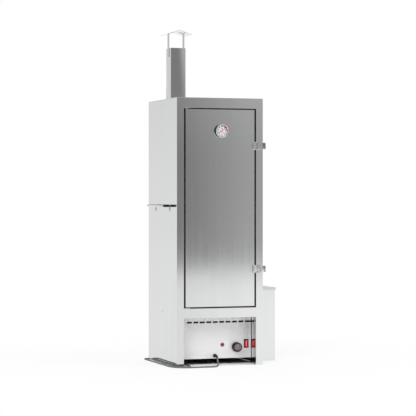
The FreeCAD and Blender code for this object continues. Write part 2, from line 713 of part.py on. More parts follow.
bushes = piece("door_bushes", hinge_x, pivot_y)
washer_low = deck_z + pivot_plate
for z0, z1 in ((door_low, door_low + pivot_depth + 2), (door_top - pivot_depth - 2, door_top),
               (washer_low, door_low)):
    block(bushes, "XY", z0, z1, lambda sk: circle(sk, 0, 0, bore))
cut(bushes, "XY", washer_low, door_low + pivot_depth + 2, lambda sk: circle(sk, 0, 0, pivot_pin + pivot_play))
cut(bushes, "XY", door_top - pivot_depth - 2, door_top, lambda sk: circle(sk, 0, 0, pivot_pin + pivot_play))

pivots = piece("door_pivots", hinge_x, pivot_y)
for plate_z, pin_z0, pin_z1 in ((deck_z, deck_z, door_low + pivot_depth),
                                (ceiling_z - pivot_plate, door_top - pivot_depth, ceiling_z)):
    block(pivots, "XY", plate_z, plate_z + pivot_plate, lambda sk: rectangle(
        sk, -inside - hinge_x, -9, 14, 12))
    block(pivots, "XY", pin_z0, pin_z1, lambda sk: circle(sk, 0, 0, pivot_pin))

# ---------------------------------------------------------------- thermometer on the door
upright = FreeCAD.Rotation(V(1, 0, 0), 90)
case = piece("thermometer_case", dial_x, 0, dial_z, upright)
case_r = dial_d / 2 - 2.5
turned(case, "XZ", "V_Axis", [
    (0, 0), (9, 0), (9, 4), (case_r - 3, 4), (case_r, 7), (case_r, case_t - 3), (case_r - 1.5, case_t - 3),
    (case_r - 1.5, 6), (0, 6)])
bezel = piece("thermometer_bezel", dial_x, 0, dial_z, upright)
rim = dial_d / 2
turned(bezel, "XZ", "V_Axis", [
    (case_r, case_t - 7), (rim, case_t - 7), (rim, case_t - 1), (rim - 1.5, case_t + skin),
    (rim - 4.5, case_t), (rim - 4.5, case_t - 3), (case_r, case_t - 3)])
face = piece("thermometer_dial", dial_x, 0, dial_z, upright)
dial_y = case_t - 8
pane_r = case_r - 1.5
block(face, "XY", dial_y - 0.8, dial_y, lambda sk: circle(sk, 0, 0, 2 * pane_r))
cut(face, "XY", dial_y - 0.8, dial_y, lambda sk: circle(sk, 0, 0, 2))
cold = FreeCAD.Rotation(V(0, 0, 1), 120)
needle = piece("thermometer_pointer", dial_x, 0, dial_z, upright * cold)
block(needle, "XY", dial_y + 0.5, dial_y + 1.1, lambda sk: outline(sk, [
    (-1.1, -8), (1.1, -8), (1.6, 0), (0.35, pane_r - 5), (-0.35, pane_r - 5), (-1.6, 0)]))
block(needle, "XY", dial_y + 0.4, dial_y + 1.5, lambda sk: circle(sk, 0, 0, 4.4))
block(needle, "XY", 6.3, dial_y + 0.4, lambda sk: circle(sk, 0, 0, 1.6))
glass = piece("thermometer_lens", dial_x, 0, dial_z, upright)
block(glass, "XY", case_t - 4.6, case_t - 3, lambda sk: circle(sk, 0, 0, 2 * pane_r))
stem = piece("thermometer_stem", dial_x, 0, dial_z, upright)
block(stem, "XY", -door_t - stem_l, 0, lambda sk: circle(sk, 0, 0, stem_d))
round_edges(stem, 2.2, lambda e: e.BoundBox.ZMax < num(-door_t - stem_l) + 0.01)
block(stem, "XY", -door_t - 5, -door_t, lambda sk: outline(sk, [
    (7.5 * math.cos(math.radians(60 * i)), 7.5 * math.sin(math.radians(60 * i))) for i in range(6)]))

# ---------------------------------------------------------------- toggle latches
wall_out = lever_in + latch_t


def ear_outline(sk):
    outline(sk, [(-lever_x - 5.5, -latch_t), (-lever_x - 3.6, -lever_out - 2), (-lever_x - 1.6, -lever_out - 3.6),
                 (1.6 - lever_x, -lever_out - 3.6), (3.6 - lever_x, -lever_out - 2), (5.5 - lever_x, -latch_t)])


def latch_base(body, level):
    """Base plate with two ears for the lever's pin."""
    block(body, "XZ", -latch_t, 0, lambda sk: rectangle(
        sk, -base_w / 2, level - base_h / 2, base_w / 2, level + base_h / 2))
    for z in (level - ear_in - latch_t, level + ear_in):
        block(body, "XY", z, z + latch_t, ear_outline)
    cut(body, "XY", level - wall_out, level + wall_out, lambda sk: circle(
        sk, -lever_x, -lever_out, lever_pin + pin_play))


def latch_lever(name, level):
    """A channel over the ears: two walls, the face between them and a lifted finger tip."""
    body = piece(name, latch_x, 0, level)
    for z in (-wall_out, lever_in):
        block(body, "XY", z, z + latch_t, lambda sk: outline(sk, [
            (-lever_x - 3.8, -lever_face), (-lever_x - 3.8, -lever_out + 1.5), (-lever_x - 1.5, -lever_out + 3.8),
            (-2.2, -2.9), (1.2, -2.9), (3.2, -4.6), (9, -9.5), (lever_tip - 2, latch_t - lever_face),
            (lever_tip - 2, -lever_face)]))
    block(body, "XY", -lever_in, lever_in, lambda sk: outline(sk, [
        (3.5, -lever_face), (3.5, latch_t - lever_face), (lever_tip - 5, latch_t - lever_face),
        (lever_tip - 0.5, latch_t / 2 - lever_face - 2), (lever_tip, -lever_face - 3),
        (lever_tip - 5, -lever_face)]))
    cut(body, "XY", -wall_out, wall_out, lambda sk: circle(sk, -lever_x, -lever_out, lever_pin + pin_play))
    cut(body, "XY", -wall_out, wall_out, lambda sk: circle(sk, 0, link_y - lever_out, bail_wire + pin_play))
    return body


def latch_bail(name, level):
    """The wire loop that is drawn over the keeper, with its ends turned in for the lever."""
    body = doc.addObject("Part::Feature", name)
    body.Label = name
    y, z, x, end = num(link_y - lever_out), num(bail_z), -num(bail_len), num(lever_in) + 0.1
    path = wire_path([(0, y, -end), (0, y, -z), (x, y, -z), (x, y, z), (0, y, z), (0, y, end)], [1.5, 3.2, 3.2, 1.5])
    ring = Part.Wire(Part.Circle(V(0, y, -end), V(0, 0, -1), num(bail_wire) / 2).toShape())
    body.Shape = path.makePipe(Part.Face(ring))
    bind(body, "Placement.Base.x", datum_x + latch_x)
    bind(body, "Placement.Base.y", datum_y)
    bind(body, "Placement.Base.z", level)
    nodes.append(body)
    return body


def keeper(body, level):
    """The keeper riveted to the door's edge, with a straight lug inside the bail's loop."""
    block(body, "XZ", -latch_t, 0, lambda sk: rectangle(
        sk, edge - keeper_w, level - keeper_h / 2, edge, level + keeper_h / 2))
    block(body, "YZ", lug_right - lug_t, lug_right, lambda sk: outline(sk, [
        (0, level - lug_w / 2), (0, level + lug_w / 2), (2 - lug_h, level + lug_w / 2),
        (-lug_h, level + lug_w / 2 - 2), (-lug_h, level + 2 - lug_w / 2), (2 - lug_h, level - lug_w / 2)]))


bases = piece("latch_bases", latch_x)
pins = piece("latch_pins", latch_x - lever_x, -lever_out)
keepers = piece("latch_keepers")
for tag, level in (("upper", latch_top), ("lower", latch_low)):
    latch_base(bases, level)
    block(pins, "XY", level - wall_out - 0.2, level + wall_out + 0.2, lambda sk: circle(sk, 0, 0, lever_pin))
    keeper(keepers, level)
    latch_lever("latch_lever_" + tag, level)
    latch_bail("latch_bail_" + tag, level)

# ---------------------------------------------------------------- chimney
tube = piece("flue_tube", -flue_x, flue_y)
block(tube, "XY", ceiling_z, flue_top, lambda sk: rectangle(sk, -flue / 2, -flue / 2, flue / 2, flue / 2))
block(tube, "XY", ceiling_z - skin, ceiling_z, lambda sk: rectangle(
    sk, -flue / 2 - flue_lip, -flue / 2 - flue_lip, flue / 2 + flue_lip, flue / 2 + flue_lip))
cut(tube, "XY", ceiling_z - skin, flue_top, lambda sk: rectangle(
    sk, skin - flue / 2, skin - flue / 2, flue / 2 - skin, flue / 2 - skin))

slope = cap_rise / (cap_w / 2)
cap = piece("rain_cap", -flue_x, flue_y)
block(cap, "XZ", -cap_d / 2, cap_d / 2, lambda sk: outline(sk, [
    (-cap_w / 2, cap_eave - skin), (0, cap_eave + cap_rise - skin), (cap_w / 2, cap_eave - skin),
    (cap_w / 2, cap_eave), (0, cap_eave + cap_rise), (-cap_w / 2, cap_eave)]))
straps = piece("cap_straps", -flue_x, flue_y)
near, far = flue / 2, flue / 2 + strap_t
under = cap_eave + cap_rise - skin
for side in (-1, 1):
    def strap_outline(sk):
        outline(sk, [(side * near, flue_top - strap_lap), (side * far, flue_top - strap_lap),
                     (side * far, under - slope * far),
                     (side * 14, under - slope * 14), (side * 14, under - slope * 14 - strap_t),
                     (side * near, under - slope * near - strap_t)])

    block(straps, "XZ", -strap_w / 2, strap_w / 2, strap_outline)
rivet_z = flue_top - strap_lap / 2
strap_rivets = piece("rivets", -flue_x, flue_y, rivet_z)
for x0, x1, x2 in ((-far - 1.4, -far, -far - 2.2), (far, far + 1.4, far)):
    block(strap_rivets, "YZ", x0, x1, lambda sk: circle(sk, 0, 0, 7))
    block(strap_rivets, "YZ", x2, x2 + 2.2, lambda sk: circle(sk, 0, 0, 4.6))

# ---------------------------------------------------------------- carrying handles
grip_y = cab_d / 2
for tag, side in (("left", -1), ("right", 1)):
    x_wall, x_out = side * half, side * (half + grip_out)
    y0, y1 = grip_y - grip_len / 2, grip_y + grip_len / 2
    corner_x = x_wall - foot_t if side < 0 else x_wall
    plates = [Part.makeBox(num(foot_t), num(foot_w), num(foot_z), V(
        num(corner_x), num(y - foot_w / 2), num(grip_z - foot_z + rod / 2))) for y in (y0, y1)]
    bent_rod("carry_handle_" + tag, [
        (x_wall, y0, grip_z), (x_out, y0, grip_z), (x_out, y1, grip_z), (x_wall, y1, grip_z)],
        rod, 14, plates)

# ---------------------------------------------------------------- smoke generator
gen_x = half + gen_w
gen_y1 = gen_y + gen_d
gen = piece("generator_casing")
block(gen, "XY", 0, gen_h, lambda sk: rectangle(sk, half, gen_y, gen_x, gen_y1))
cut(gen, "XY", skin, gen_h, lambda sk: rectangle(sk, half + skin, gen_y + skin, gen_x - skin, gen_y1 - skin))
cut(gen, "YZ", half, half + skin, lambda sk: circle(sk, duct_y, duct_z, duct_d + 2 * slide))

lid_x0 = half + 1
lid = piece("generator_lid")
block(lid, "XY", gen_h - lid_skirt, gen_h + skin, lambda sk: rectangle(
    sk, lid_x0, gen_y - lid_over, gen_x + lid_over, gen_y1))
cut(lid, "XY", gen_h - lid_skirt, gen_h, lambda sk: rectangle(
    sk, half, gen_y - lid_over + skin, gen_x + lid_over - skin, gen_y1 + 1))
knuckle = gen_pin + 4
pin_y = gen_y1 + knuckle / 2
pin_z = gen_h + skin - knuckle / 2


def lid_knuckles(body, spans, clearance):
    """Barrels about the lid's pin, each with a leaf back to the body's own wall."""
    for u0, u1 in spans:
        block(body, "YZ", u0, u1, lambda sk: circle(sk, pin_y, pin_z, knuckle))
        block(body, "YZ", u0, u1, lambda sk: rectangle(
            sk, gen_y1 - 0.5, pin_z + knuckle / 2 - skin if clearance else pin_z - knuckle / 2, pin_y,
            pin_z + knuckle / 2 if clearance else pin_z + skin - knuckle / 2))
        cut(body, "YZ", u0, u1, lambda sk: circle(sk, pin_y, pin_z, gen_pin + pivot_play))


lid_knuckles(lid, ((half + 24, half + 44), (gen_x - 44, gen_x - 24)), True)
lid_knuckles(gen, ((half + 8, half + 24 - slide), (gen_x - 24 + slide, gen_x - 8)), False)
rod_pin = piece("generator_lid_pin", 0, pin_y, pin_z)
block(rod_pin, "YZ", half + 6, gen_x - 6, lambda sk: circle(sk, 0, 0, gen_pin))

duct = piece("smoke_duct", 0, duct_y, duct_z)
block(duct, "YZ", inside - 6, half + 12, lambda sk: circle(sk, 0, 0, duct_d))
block(duct, "YZ", inside - 2, inside, lambda sk: circle(sk, 0, 0, duct_d + 12))
block(duct, "YZ", half + skin, half + skin + 2, lambda sk: circle(sk, 0, 0, duct_d + 12))
cut(duct, "YZ", inside - 6, half + 12, lambda sk: circle(sk, 0, 0, duct_d - 2 * skin))

block(gen, "XY", tray_z - skin, tray_z, lambda sk: rectangle(
    sk, half + skin, gen_y + skin, gen_x - skin, gen_y1 - skin))
tray = piece("ash_tray", 0, 0, tray_z)
tray_in = skin + tray_play
block(tray, "XY", 0, tray_h, lambda sk: rectangle(
    sk, half + tray_in, gen_y + tray_in, gen_x - tray_in, gen_y1 - tray_in))
cut(tray, "XY", thin, tray_h, lambda sk: rectangle(
    sk, half + tray_in + thin, gen_y + tray_in + thin, gen_x - tray_in - thin, gen_y1 - tray_in - thin))
igniter = piece("chip_igniter", 0, 0, tray_z + 44)
block(igniter, "XY", -4, 4, lambda sk: rectangle(sk, half + 34, gen_y + skin, half + 42, gen_y1 - 60))
block(igniter, "XZ", gen_y + skin, gen_y + skin + 3, lambda sk: rectangle(sk, half + 26, -12, half + 50, 12))
hopper = piece("chip_hopper")
hop_low, hop_top = tray_z + hop_rise, gen_h - lid_skirt - 2
hop_x0, hop_x1, hop_y0, hop_y1 = half + 26, gen_x - 14, gen_y + 12, gen_y1 - 12
block(hopper, "XY", hop_low, hop_top, lambda sk: rectangle(sk, hop_x0, hop_y0, hop_x1, hop_y1))
cut(hopper, "XY", hop_low + thin, hop_top, lambda sk: rectangle(
    sk, hop_x0 + thin, hop_y0 + thin, hop_x1 - thin, hop_y1 - thin))


def grate(sk):
    for i in range(8):
        rectangle(sk, half + 36, gen_y + 22 + 20 * i, gen_x - 24, gen_y + 30 + 20 * i)


cut(hopper, "XY", hop_low, hop_low + thin, grate)
hang_z = hop_low + hop_hang
for v0, v1 in ((gen_y + skin, hop_y0), (hop_y1, gen_y1 - skin)):
    block(hopper, "XY", hang_z, hang_z + thin, lambda sk: rectangle(sk, half + 40, v0, gen_x - 30, v1))

# ---------------------------------------------------------------- rivets in the side walls
upper_rivet, lower_rivet = cab_h - rivet_in, deck_z - rivet_in
for x0, levels in ((flue_x - half - rivet_t, (upper_rivet, lower_rivet)), (half + flue_x, (upper_rivet,))):
    for level in levels:
        block(strap_rivets, "YZ", x0, x0 + rivet_t, lambda sk: circle(
            sk, cab_d / 2 - flue_y, level - rivet_z, rivet_d))

# ---------------------------------------------------------------- gland and mains lead
gland = piece("cable_gland", gland_x, recess, gland_z, upright)
turned(gland, "XZ", "V_Axis", [
    (0, -14), (gland_d / 2 - 2.6, -14), (gland_d / 2 - 2.6, 0), (gland_d / 2, 0), (gland_d / 2, 3),
    (gland_d / 2 - 2.5, 5), (cord_d / 2 + 1.4, 11), (0, 11)])
exit_y = recess - 11
low = cord_d / 2
route = [
    (gland_x, exit_y, gland_z), (gland_x, exit_y - 24, gland_z), (2, 16, 21), (-4, -20, 5.5), (-22, -52, low),
    (-52, -60, low),
    (-92, -56, low), (-146, -60, low), (-196, -54, low), (-226, -14, low), (-232, 44, low), (-228, 102, low),
    (-233, 160, low), (-230, 218, low), (-234, 276, low), (-232, 328, low), (-234, 366, low), (-232, 387, low),
    (-224.4, 396, low), (-213.6, 396, low), (-206, 387, low), (-207, 366, low), (-206, 328, low),
    (-207, 274, low), (-206, 218, low), (-208, 162, low), (-206.5, 106, low), (-208, 54, low), (-213, 16, low),
    (-199, -26, low), (-162, -30, low), (-138, -2, low), (-133, 44, low), (-126, 96, low), (-118, 146, low),
    (-113, 194, low), (-112, 238, low)]


def bend_radii(points):
    """Each arc takes 0.45 of its shorter run."""
    radii = []
    for a, b, c in zip(points, points[1:], points[2:]):
        a, b, c = [V(*[num(q) for q in spot]) for spot in (a, b, c)]
        turn = (b - a).getAngle(c - b)
        radii.append(0.45 * min((b - a).Length, (c - b).Length) / math.tan(turn / 2))
    return radii


radii = bend_radii(route)
print("cord radii", [round(r) for r in radii])
bent_rod("mains_cord", route, cord_d, radii)
coil_x, coil_y = coil_d / 2 - 112, 262
coil = piece("cord_coil", coil_x, coil_y)
block(coil, "XY", 0, coil_turns * cord_d, lambda sk: circle(sk, 0, 0, coil_d + cord_d))
cut(coil, "XY", 0, coil_turns * cord_d, lambda sk: circle(sk, 0, 0, coil_d - cord_d))
plug = piece("mains_plug", coil_x + coil_d / 2 + 0.5, coil_y - 18, plug_d / 2, upright)
turned(plug, "XZ", "V_Axis", [
    (0, 0), (cord_d / 2 + 1, 0), (cord_d / 2 + 3, 30), (11, 38), (plug_d / 2 - 1, 52), (plug_d / 2 - 1, 55),
    (plug_d / 2, 56), (plug_d / 2, 74), (0, 74)])
for v in (-9.5, 9.5):
    block(plug, "XY", 74, 93, lambda sk: circle(sk, v, 0, 4.8))

# ---------------------------------------------------------------- build, test and export
doc.recompute()
for body in nodes:
    bad = {"Invalid", "Error"} & set(body.State)
    if bad or body.Shape.isNull() or not body.Shape.isValid() or not body.Shape.Solids:
        raise RuntimeError("%s failed: %s" % (body.Label, body.State))
    body.Shape.exportStep("parts/%s.step" % body.Label)
whole = Part.makeCompound([body.Shape for body in nodes if body.Label not in ("mains_cord", "cord_coil")])
box = whole.BoundBox
print("%d nodes, %.1f x %.1f x %.1f mm" % (len(nodes), box.XLength, box.YLength, box.ZLength))
print("box %.2f..%.2f  %.2f..%.2f  %.2f..%.2f" % (box.XMin, box.XMax, box.YMin, box.YMax, box.ZMin, box.ZMax))
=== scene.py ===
# %% [markdown]
# A vertical water smoker in satin stainless steel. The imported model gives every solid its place
# and its body, so this script only dresses it: it softens the sheet edges, builds the small
# fittings again in finer detail, lays the mains lead as a smooth line, and mixes the materials.
# Everything is in metres, +Z up, with the door towards -Y.

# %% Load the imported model
import json
import math
import bmesh
import bpy
import numpy as np
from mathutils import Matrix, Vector


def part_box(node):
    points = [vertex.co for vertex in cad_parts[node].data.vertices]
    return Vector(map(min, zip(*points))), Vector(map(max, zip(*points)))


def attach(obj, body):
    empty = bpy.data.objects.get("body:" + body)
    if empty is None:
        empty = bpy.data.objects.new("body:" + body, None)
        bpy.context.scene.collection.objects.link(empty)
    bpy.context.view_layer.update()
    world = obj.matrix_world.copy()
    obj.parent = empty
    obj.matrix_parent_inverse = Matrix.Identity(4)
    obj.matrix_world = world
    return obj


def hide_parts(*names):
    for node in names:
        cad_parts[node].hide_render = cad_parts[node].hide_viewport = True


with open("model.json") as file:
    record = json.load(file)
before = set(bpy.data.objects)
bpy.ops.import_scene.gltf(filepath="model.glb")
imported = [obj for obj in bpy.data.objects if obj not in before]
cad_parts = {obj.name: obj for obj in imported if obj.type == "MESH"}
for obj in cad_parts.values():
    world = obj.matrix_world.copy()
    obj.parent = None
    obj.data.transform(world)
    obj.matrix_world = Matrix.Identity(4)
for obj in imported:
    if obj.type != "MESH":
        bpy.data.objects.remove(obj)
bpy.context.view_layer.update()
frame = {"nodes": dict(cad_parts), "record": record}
scene = bpy.context.scene

# %% [markdown]
# The camera stands nearly eight metres off with a long lens, so upright edges stay upright and
# the cabinet's left side shows as a narrow strip. A direction is easier to reason about than
# three angles, so the turn comes from the way that the lens looks.

# %% Camera
CAMERA_AT = (-2.5117, -7.3738, 0.7478)
YAW, PITCH = 0.3251, -0.0069
LENS_MM, SENSOR_MM = 149.11, 36.0
FARTHEST = 200.0


def placed(name, data):
    """A new object in the scene that holds this data."""
    thing = bpy.data.objects.new(name, data)
    scene.collection.objects.link(thing)
    return thing


def add_camera():
    """Looks along (sin yaw cos pitch, cos yaw cos pitch, sin pitch)."""
    data = bpy.data.cameras.new("camera")
    data.lens, data.sensor_width = LENS_MM, SENSOR_MM
    data.clip_end = FARTHEST
    camera = placed("camera", data)
    camera.location = CAMERA_AT
    look = Vector((math.sin(YAW) * math.cos(PITCH), math.cos(YAW) * math.cos(PITCH), math.sin(PITCH)))
    camera.rotation_euler = look.to_track_quat("-Z", "Y").to_euler()
    scene.camera = camera
    return camera


camera = add_camera()
print("camera at", tuple(camera.location))

# %% [markdown]
# Shader maths reads best as ordinary arithmetic. A Value wraps one socket of a node tree, and
# its operators add Math nodes, so that 1 - mask works. A Finish wraps a material, and its add
# method makes any node from its type, its settings, and the values or links of its sockets.


# %% Sockets as numbers
class Value:
    """One output of a node tree. Arithmetic on it adds Math nodes."""

    def __init__(self, finish, socket):
        self.finish, self.socket = finish, socket

    def math(self, operation, *values):
        return self.finish.add("ShaderNodeMath", {"operation": operation}, *values)

    def __add__(self, other):
        return self.math("ADD", self, other)

    def __radd__(self, other):
        return self.math("ADD", other, self)

    def __sub__(self, other):
        return self.math("SUBTRACT", self, other)

    def __rsub__(self, other):
        return self.math("SUBTRACT", other, self)

    def __mul__(self, other):
        return self.math("MULTIPLY", self, other)

    def __rmul__(self, other):
        return self.math("MULTIPLY", other, self)

    def __truediv__(self, other):
        return self.math("DIVIDE", self, other)

    def absolute(self):
        return self.math("ABSOLUTE", self)

    def at_least(self, level):
        return self.math("MAXIMUM", self, level)

    def above(self, edge):
        return self.math("GREATER_THAN", self, edge)

    def band(self, low, high):
        """1 between two levels and 0 outside them."""
        return self.above(low) * (1 - self.above(high))

    def clipped(self):
        return self.math("MINIMUM", self.at_least(0.0), 1.0)


class Finish:
    """A material or a world, and the nodes in it."""

    def __init__(self, name, owner=None):
        self.data = owner or bpy.data.materials.new(name)
        self.data.use_nodes = True
        self.tree = self.data.node_tree
        self.tree.nodes.clear()

    def feed(self, socket, value):
        if isinstance(value, Value):
            self.tree.links.new(value.socket, socket)
        else:
            socket.default_value = value

    def add(self, kind, settings=None, *values, output=0, **named):
        node = self.tree.nodes.new(kind)
        for key, setting in (settings or {}).items():
            if key == "stops":
                ramp = node.color_ramp
                while len(ramp.elements) < len(setting):
                    ramp.elements.new(0.5)
                for element, (place, colour) in zip(ramp.elements, setting):
                    element.position, element.color = place, (*colour, 1.0)
            else:
                setattr(node, key, setting)
        for index, value in enumerate(values):
            self.feed(node.inputs[index], value)
        for key, value in named.items():
            self.feed(node.inputs[key.replace("_", " ")], value)
        return Value(self, node.outputs[output]) if len(node.outputs) else node

    def place(self, scale=(1, 1, 1)):
        """Object coordinates in metres, stretched by a scale."""
        spot = self.add("ShaderNodeTexCoord", output="Object")
        return self.add("ShaderNodeVectorMath", {"operation": "MULTIPLY"}, spot, scale)

    def noise(self, scale, detail=2.0, roughness=0.5):
        """Smooth noise about 0.5. scale is features per metre along X, Y and Z."""
        return self.add("ShaderNodeTexNoise", None, Vector=self.place(scale), Scale=1.0,
                        Detail=detail, Roughness=roughness)

    def part(self, vector, axis):
        return self.add("ShaderNodeSeparateXYZ", None, vector, output=axis)

    def mixed(self, factor, first, second):
        """Colours go through Mix, because a Math node turns them grey."""
        node = self.tree.nodes.new("ShaderNodeMix")
        node.data_type = "RGBA"
        for index, value in ((0, factor), (6, first), (7, second)):
            self.feed(node.inputs[index], value if isinstance(value, (Value, float)) else (*value, 1.0))
        return Value(self, node.outputs[2])

    def bump(self, height, depth, strength=1.0):
        return self.add("ShaderNodeBump", None, Height=height, Distance=depth, Strength=strength)

    def surface(self, shader):
        """The shader goes to the output of the material, which is then ready."""
        self.add("ShaderNodeOutputMaterial", None, Surface=shader)
        return self.data

    def close(self, **sockets):
        """The main shader, with its sockets named as Blender names them."""
        return self.surface(self.add("ShaderNodeBsdfPrincipled", None, **sockets))


print("sockets ready")

# %% [markdown]
# Brushed stainless sheet is a mirror with thousands of fine scratches that run one way. Three
# noises stretched along the grain do it: hairlines, wider streaks and broad swathes. A fourth is
# a slow cloud, where hands and cloths have been. They move the colour and the roughness a little,
# and the hairlines give a shallow bump.


# %% Sheet steel
def grained(across, length, along):
    """Features per metre: across the grain on two axes, and along it on the third."""
    return [length if axis == along else across for axis in "XYZ"]


def brushed_steel(name, tone, rough, along, depth=0.00002, wave=0.0, metal=1.0):
    """Colour = tone x (0.93 to 1.07, by a weighted sum of streak, hairline and swathe). Roughness =
    rough - 0.05 + 0.06 streak + 0.05 cloud. The bump is hairlines plus, on big sheets, waves
    that many times as deep and 0.4 m long."""
    finish = Finish(name)
    hair = finish.noise(grained(1400.0, 14.0, along), 3.0, 0.6)
    streak = finish.noise(grained(170.0, 1.6, along), 2.0, 0.5)
    swathe = finish.noise(grained(26.0, 0.9, along), 2.0, 0.5)
    cloud = finish.noise((7.0, 7.0, 5.0), 3.0, 0.55)
    shade = (0.35 * streak + 0.25 * hair + 0.4 * swathe).clipped()
    low, high = [0.93 * c for c in tone], [min(1.0, 1.07 * c) for c in tone]
    height = hair + wave * finish.noise((2.5, 2.5, 2.5), 1.0, 0.4) if wave else hair
    return finish.close(
        Base_Color=finish.mixed(shade, low, high), Metallic=metal,
        Roughness=rough - 0.05 + 0.06 * streak + 0.05 * cloud,
        Normal=finish.bump(height, depth, 0.6))


STEEL_TONE = (0.775, 0.78, 0.785)
steel_upright = brushed_steel("steel_upright", STEEL_TONE, 0.09, "Z", wave=5.0)
steel_flat = brushed_steel("steel_flat", STEEL_TONE, 0.2, "Y")
# A darker copy of the upright steel: painted shade on the cap straps.
strap_steel = brushed_steel("strap_steel", (0.65, 0.65, 0.655), 0.12, "Z")
steel_panel = brushed_steel("steel_panel", (0.96, 0.96, 0.96), 0.36, "X", 0.000008, metal=0.4)
chamber_steel = brushed_steel("chamber_steel", (0.62, 0.615, 0.6), 0.26, "X")
# A dark copy of the steel, used only on the door's stop flange: painted shade in the door gap.
shade_dark_steel = brushed_steel("shade_dark_steel", (0.2, 0.19, 0.175), 0.4, "Z")
polished_steel = brushed_steel("polished_steel", (0.76, 0.765, 0.77), 0.08, "Z", 0.000004)


def jamb_steel(name, margin, joint, behind):
    """The bright lining of the control recess. Three bands of it, given as (from, to) along Y, are
    painted shade: a duller margin at the front, a near-black strip further in, and near-black dull
    steel behind the control panel, where no light reaches."""
    finish = Finish(name)
    y = finish.part(finish.place(), 1)
    streak = finish.noise((170.0, 170.0, 1.6), 2.0, 0.5)
    # The margin, the strip and the part behind the panel are darkened with painted shade.
    shaded_margin, painted_shade_bands = y.band(*margin), (y.band(*joint) + y.band(*behind)).clipped()
    bright = finish.mixed(streak, (0.86, 0.865, 0.87), (0.93, 0.935, 0.94))
    with_shaded_margin = finish.mixed(shaded_margin, bright, (0.48, 0.485, 0.49))
    return finish.close(Base_Color=finish.mixed(painted_shade_bands, with_shaded_margin, (0.09, 0.09, 0.09)),
                        Metallic=1.0 - 0.9 * y.band(*behind),
                        Roughness=0.11 + 0.03 * streak + 0.3 * painted_shade_bands,
                        Normal=finish.bump(streak, 0.000004, 0.5))


# The three bands along Y are painted shade in the recess.
lining_steel = jamb_steel("lining_steel", (-0.2005, -0.166), (-0.152, -0.138), (-0.1195, 0.3))
print("steel finishes ready")

# %% [markdown]
# The other finishes each have the grain of their own stuff: moulding texture on the black
# plastic, fibres in the wool, scale on the heater, a flat enamel on the dial, and a clear glass.


# %% Other finishes
def moulded(name, colour, rough, grain=1800.0, depth=0.00003, coat=0.0, gloss=0.5):
    """Plastic, rubber or ceramic: a fine pebbled bump, and slow patches in colour and roughness."""
    finish = Finish(name)
    pebble = finish.noise((grain, grain, grain), 2.0, 0.6)
    patch = finish.noise((40.0, 40.0, 40.0), 2.0, 0.5)
    low, high = [0.85 * c for c in colour], [min(1.0, 1.15 * c) for c in colour]
    return finish.close(
        Base_Color=finish.mixed(patch, low, high), Roughness=rough - 0.06 + 0.12 * patch,
        Coat_Weight=coat, Specular_IOR_Level=gloss, Normal=finish.bump(pebble, depth, 0.7))


def enamel(name, colour, rough=0.35, gloss=0.5):
    """Stoved paint: very slight orange peel."""
    finish = Finish(name)
    peel = finish.noise((600.0, 600.0, 600.0), 1.0, 0.5)
    low = [0.96 * c for c in colour]
    return finish.close(Base_Color=finish.mixed(peel, low, colour), Roughness=rough,
                        Specular_IOR_Level=gloss, Normal=finish.bump(peel, 0.00001, 0.5))


def clear_glass(name):
    finish = Finish(name)
    smear = finish.noise((60.0, 60.0, 60.0), 2.0, 0.5)
    return finish.close(Base_Color=(1.0, 1.0, 1.0, 1.0), Roughness=0.01 + 0.02 * smear,
                        Transmission_Weight=1.0, IOR=1.45)


def wool_fibre(name, colour):
    """Mineral wool: two stretched noises crossing as fibres, over slow lumps."""
    finish = Finish(name)
    one = finish.noise((700.0, 90.0, 200.0), 4.0, 0.7)
    two = finish.noise((90.0, 700.0, 250.0), 4.0, 0.7)
    fibre = (0.5 * one + 0.5 * two).clipped()
    low = [0.7 * c for c in colour]
    return finish.close(Base_Color=finish.mixed(fibre, low, colour), Roughness=0.95,
                        Normal=finish.bump(fibre, 0.002, 0.8))


def heater_scale(name):
    """Heater sheath: dark steel with a straw and blue heat tint in bands."""
    finish = Finish(name)
    tint = finish.noise((25.0, 25.0, 25.0), 3.0, 0.6)
    grit = finish.noise((900.0, 900.0, 900.0), 2.0, 0.6)
    colour = finish.mixed(tint, (0.09, 0.085, 0.085), (0.24, 0.19, 0.15))
    return finish.close(Base_Color=colour, Metallic=0.8, Roughness=0.35 + 0.25 * grit,
                        Normal=finish.bump(grit, 0.00005, 0.6))


black_plastic = moulded("black_plastic", (0.014, 0.014, 0.015), 0.45, gloss=0.2)
face_plastic = moulded("face_plastic", (0.13, 0.14, 0.135), 0.4, gloss=0.3)
grey_sheath = moulded("grey_sheath", (0.16, 0.165, 0.17), 0.5, 900.0, 0.00004)
seal_rubber = moulded("seal_rubber", (0.11, 0.03, 0.024), 0.6, 700.0, 0.0001)
black_enamel = enamel("black_enamel", (0.012, 0.012, 0.013), 0.5, 0.15)
grey_enamel = enamel("grey_enamel", (0.2, 0.21, 0.205), 0.35)
dial_enamel = enamel("dial_enamel", (0.98, 0.98, 0.975), 0.4)
dial_red = enamel("dial_red", (0.7, 0.05, 0.04), 0.4)
dial_ink = enamel("dial_ink", (0.02, 0.02, 0.022), 0.4)
white_ink = enamel("white_ink", (0.8, 0.8, 0.8), 0.4)
scale_red = enamel("scale_red", (0.5, 0.14, 0.12), 0.45)
lamp_red = moulded("lamp_red", (0.5, 0.02, 0.03), 0.12, 500.0, 0.00001, 0.5)
glass = clear_glass("dial_glass")
wool = wool_fibre("mineral_wool", (0.72, 0.69, 0.6))
heater = heater_scale("heater_sheath")
ceramic = moulded("ceramic", (0.72, 0.7, 0.62), 0.3, 400.0, 0.00002)
brass = brushed_steel("turned_brass", (0.62, 0.46, 0.2), 0.24, "Z")
bronze = brushed_steel("oiled_bronze", (0.16, 0.11, 0.07), 0.4, "Z")
print("%d materials" % len(bpy.data.materials))

# %% [markdown]
# Every new piece goes through one function, which puts arrays into a mesh, merges doubles, turns
# the faces outwards, marks the sharp edges, gives it its finish, hangs it on the body that carries
# it, and hides the CAD solids it stands for.


# %% Making a piece
def register(piece, finish, body, replaced):
    if finish:
        piece.data.materials.clear()
        piece.data.materials.append(finish)
    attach(piece, body)
    if replaced:
        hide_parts(*replaced)
    return piece


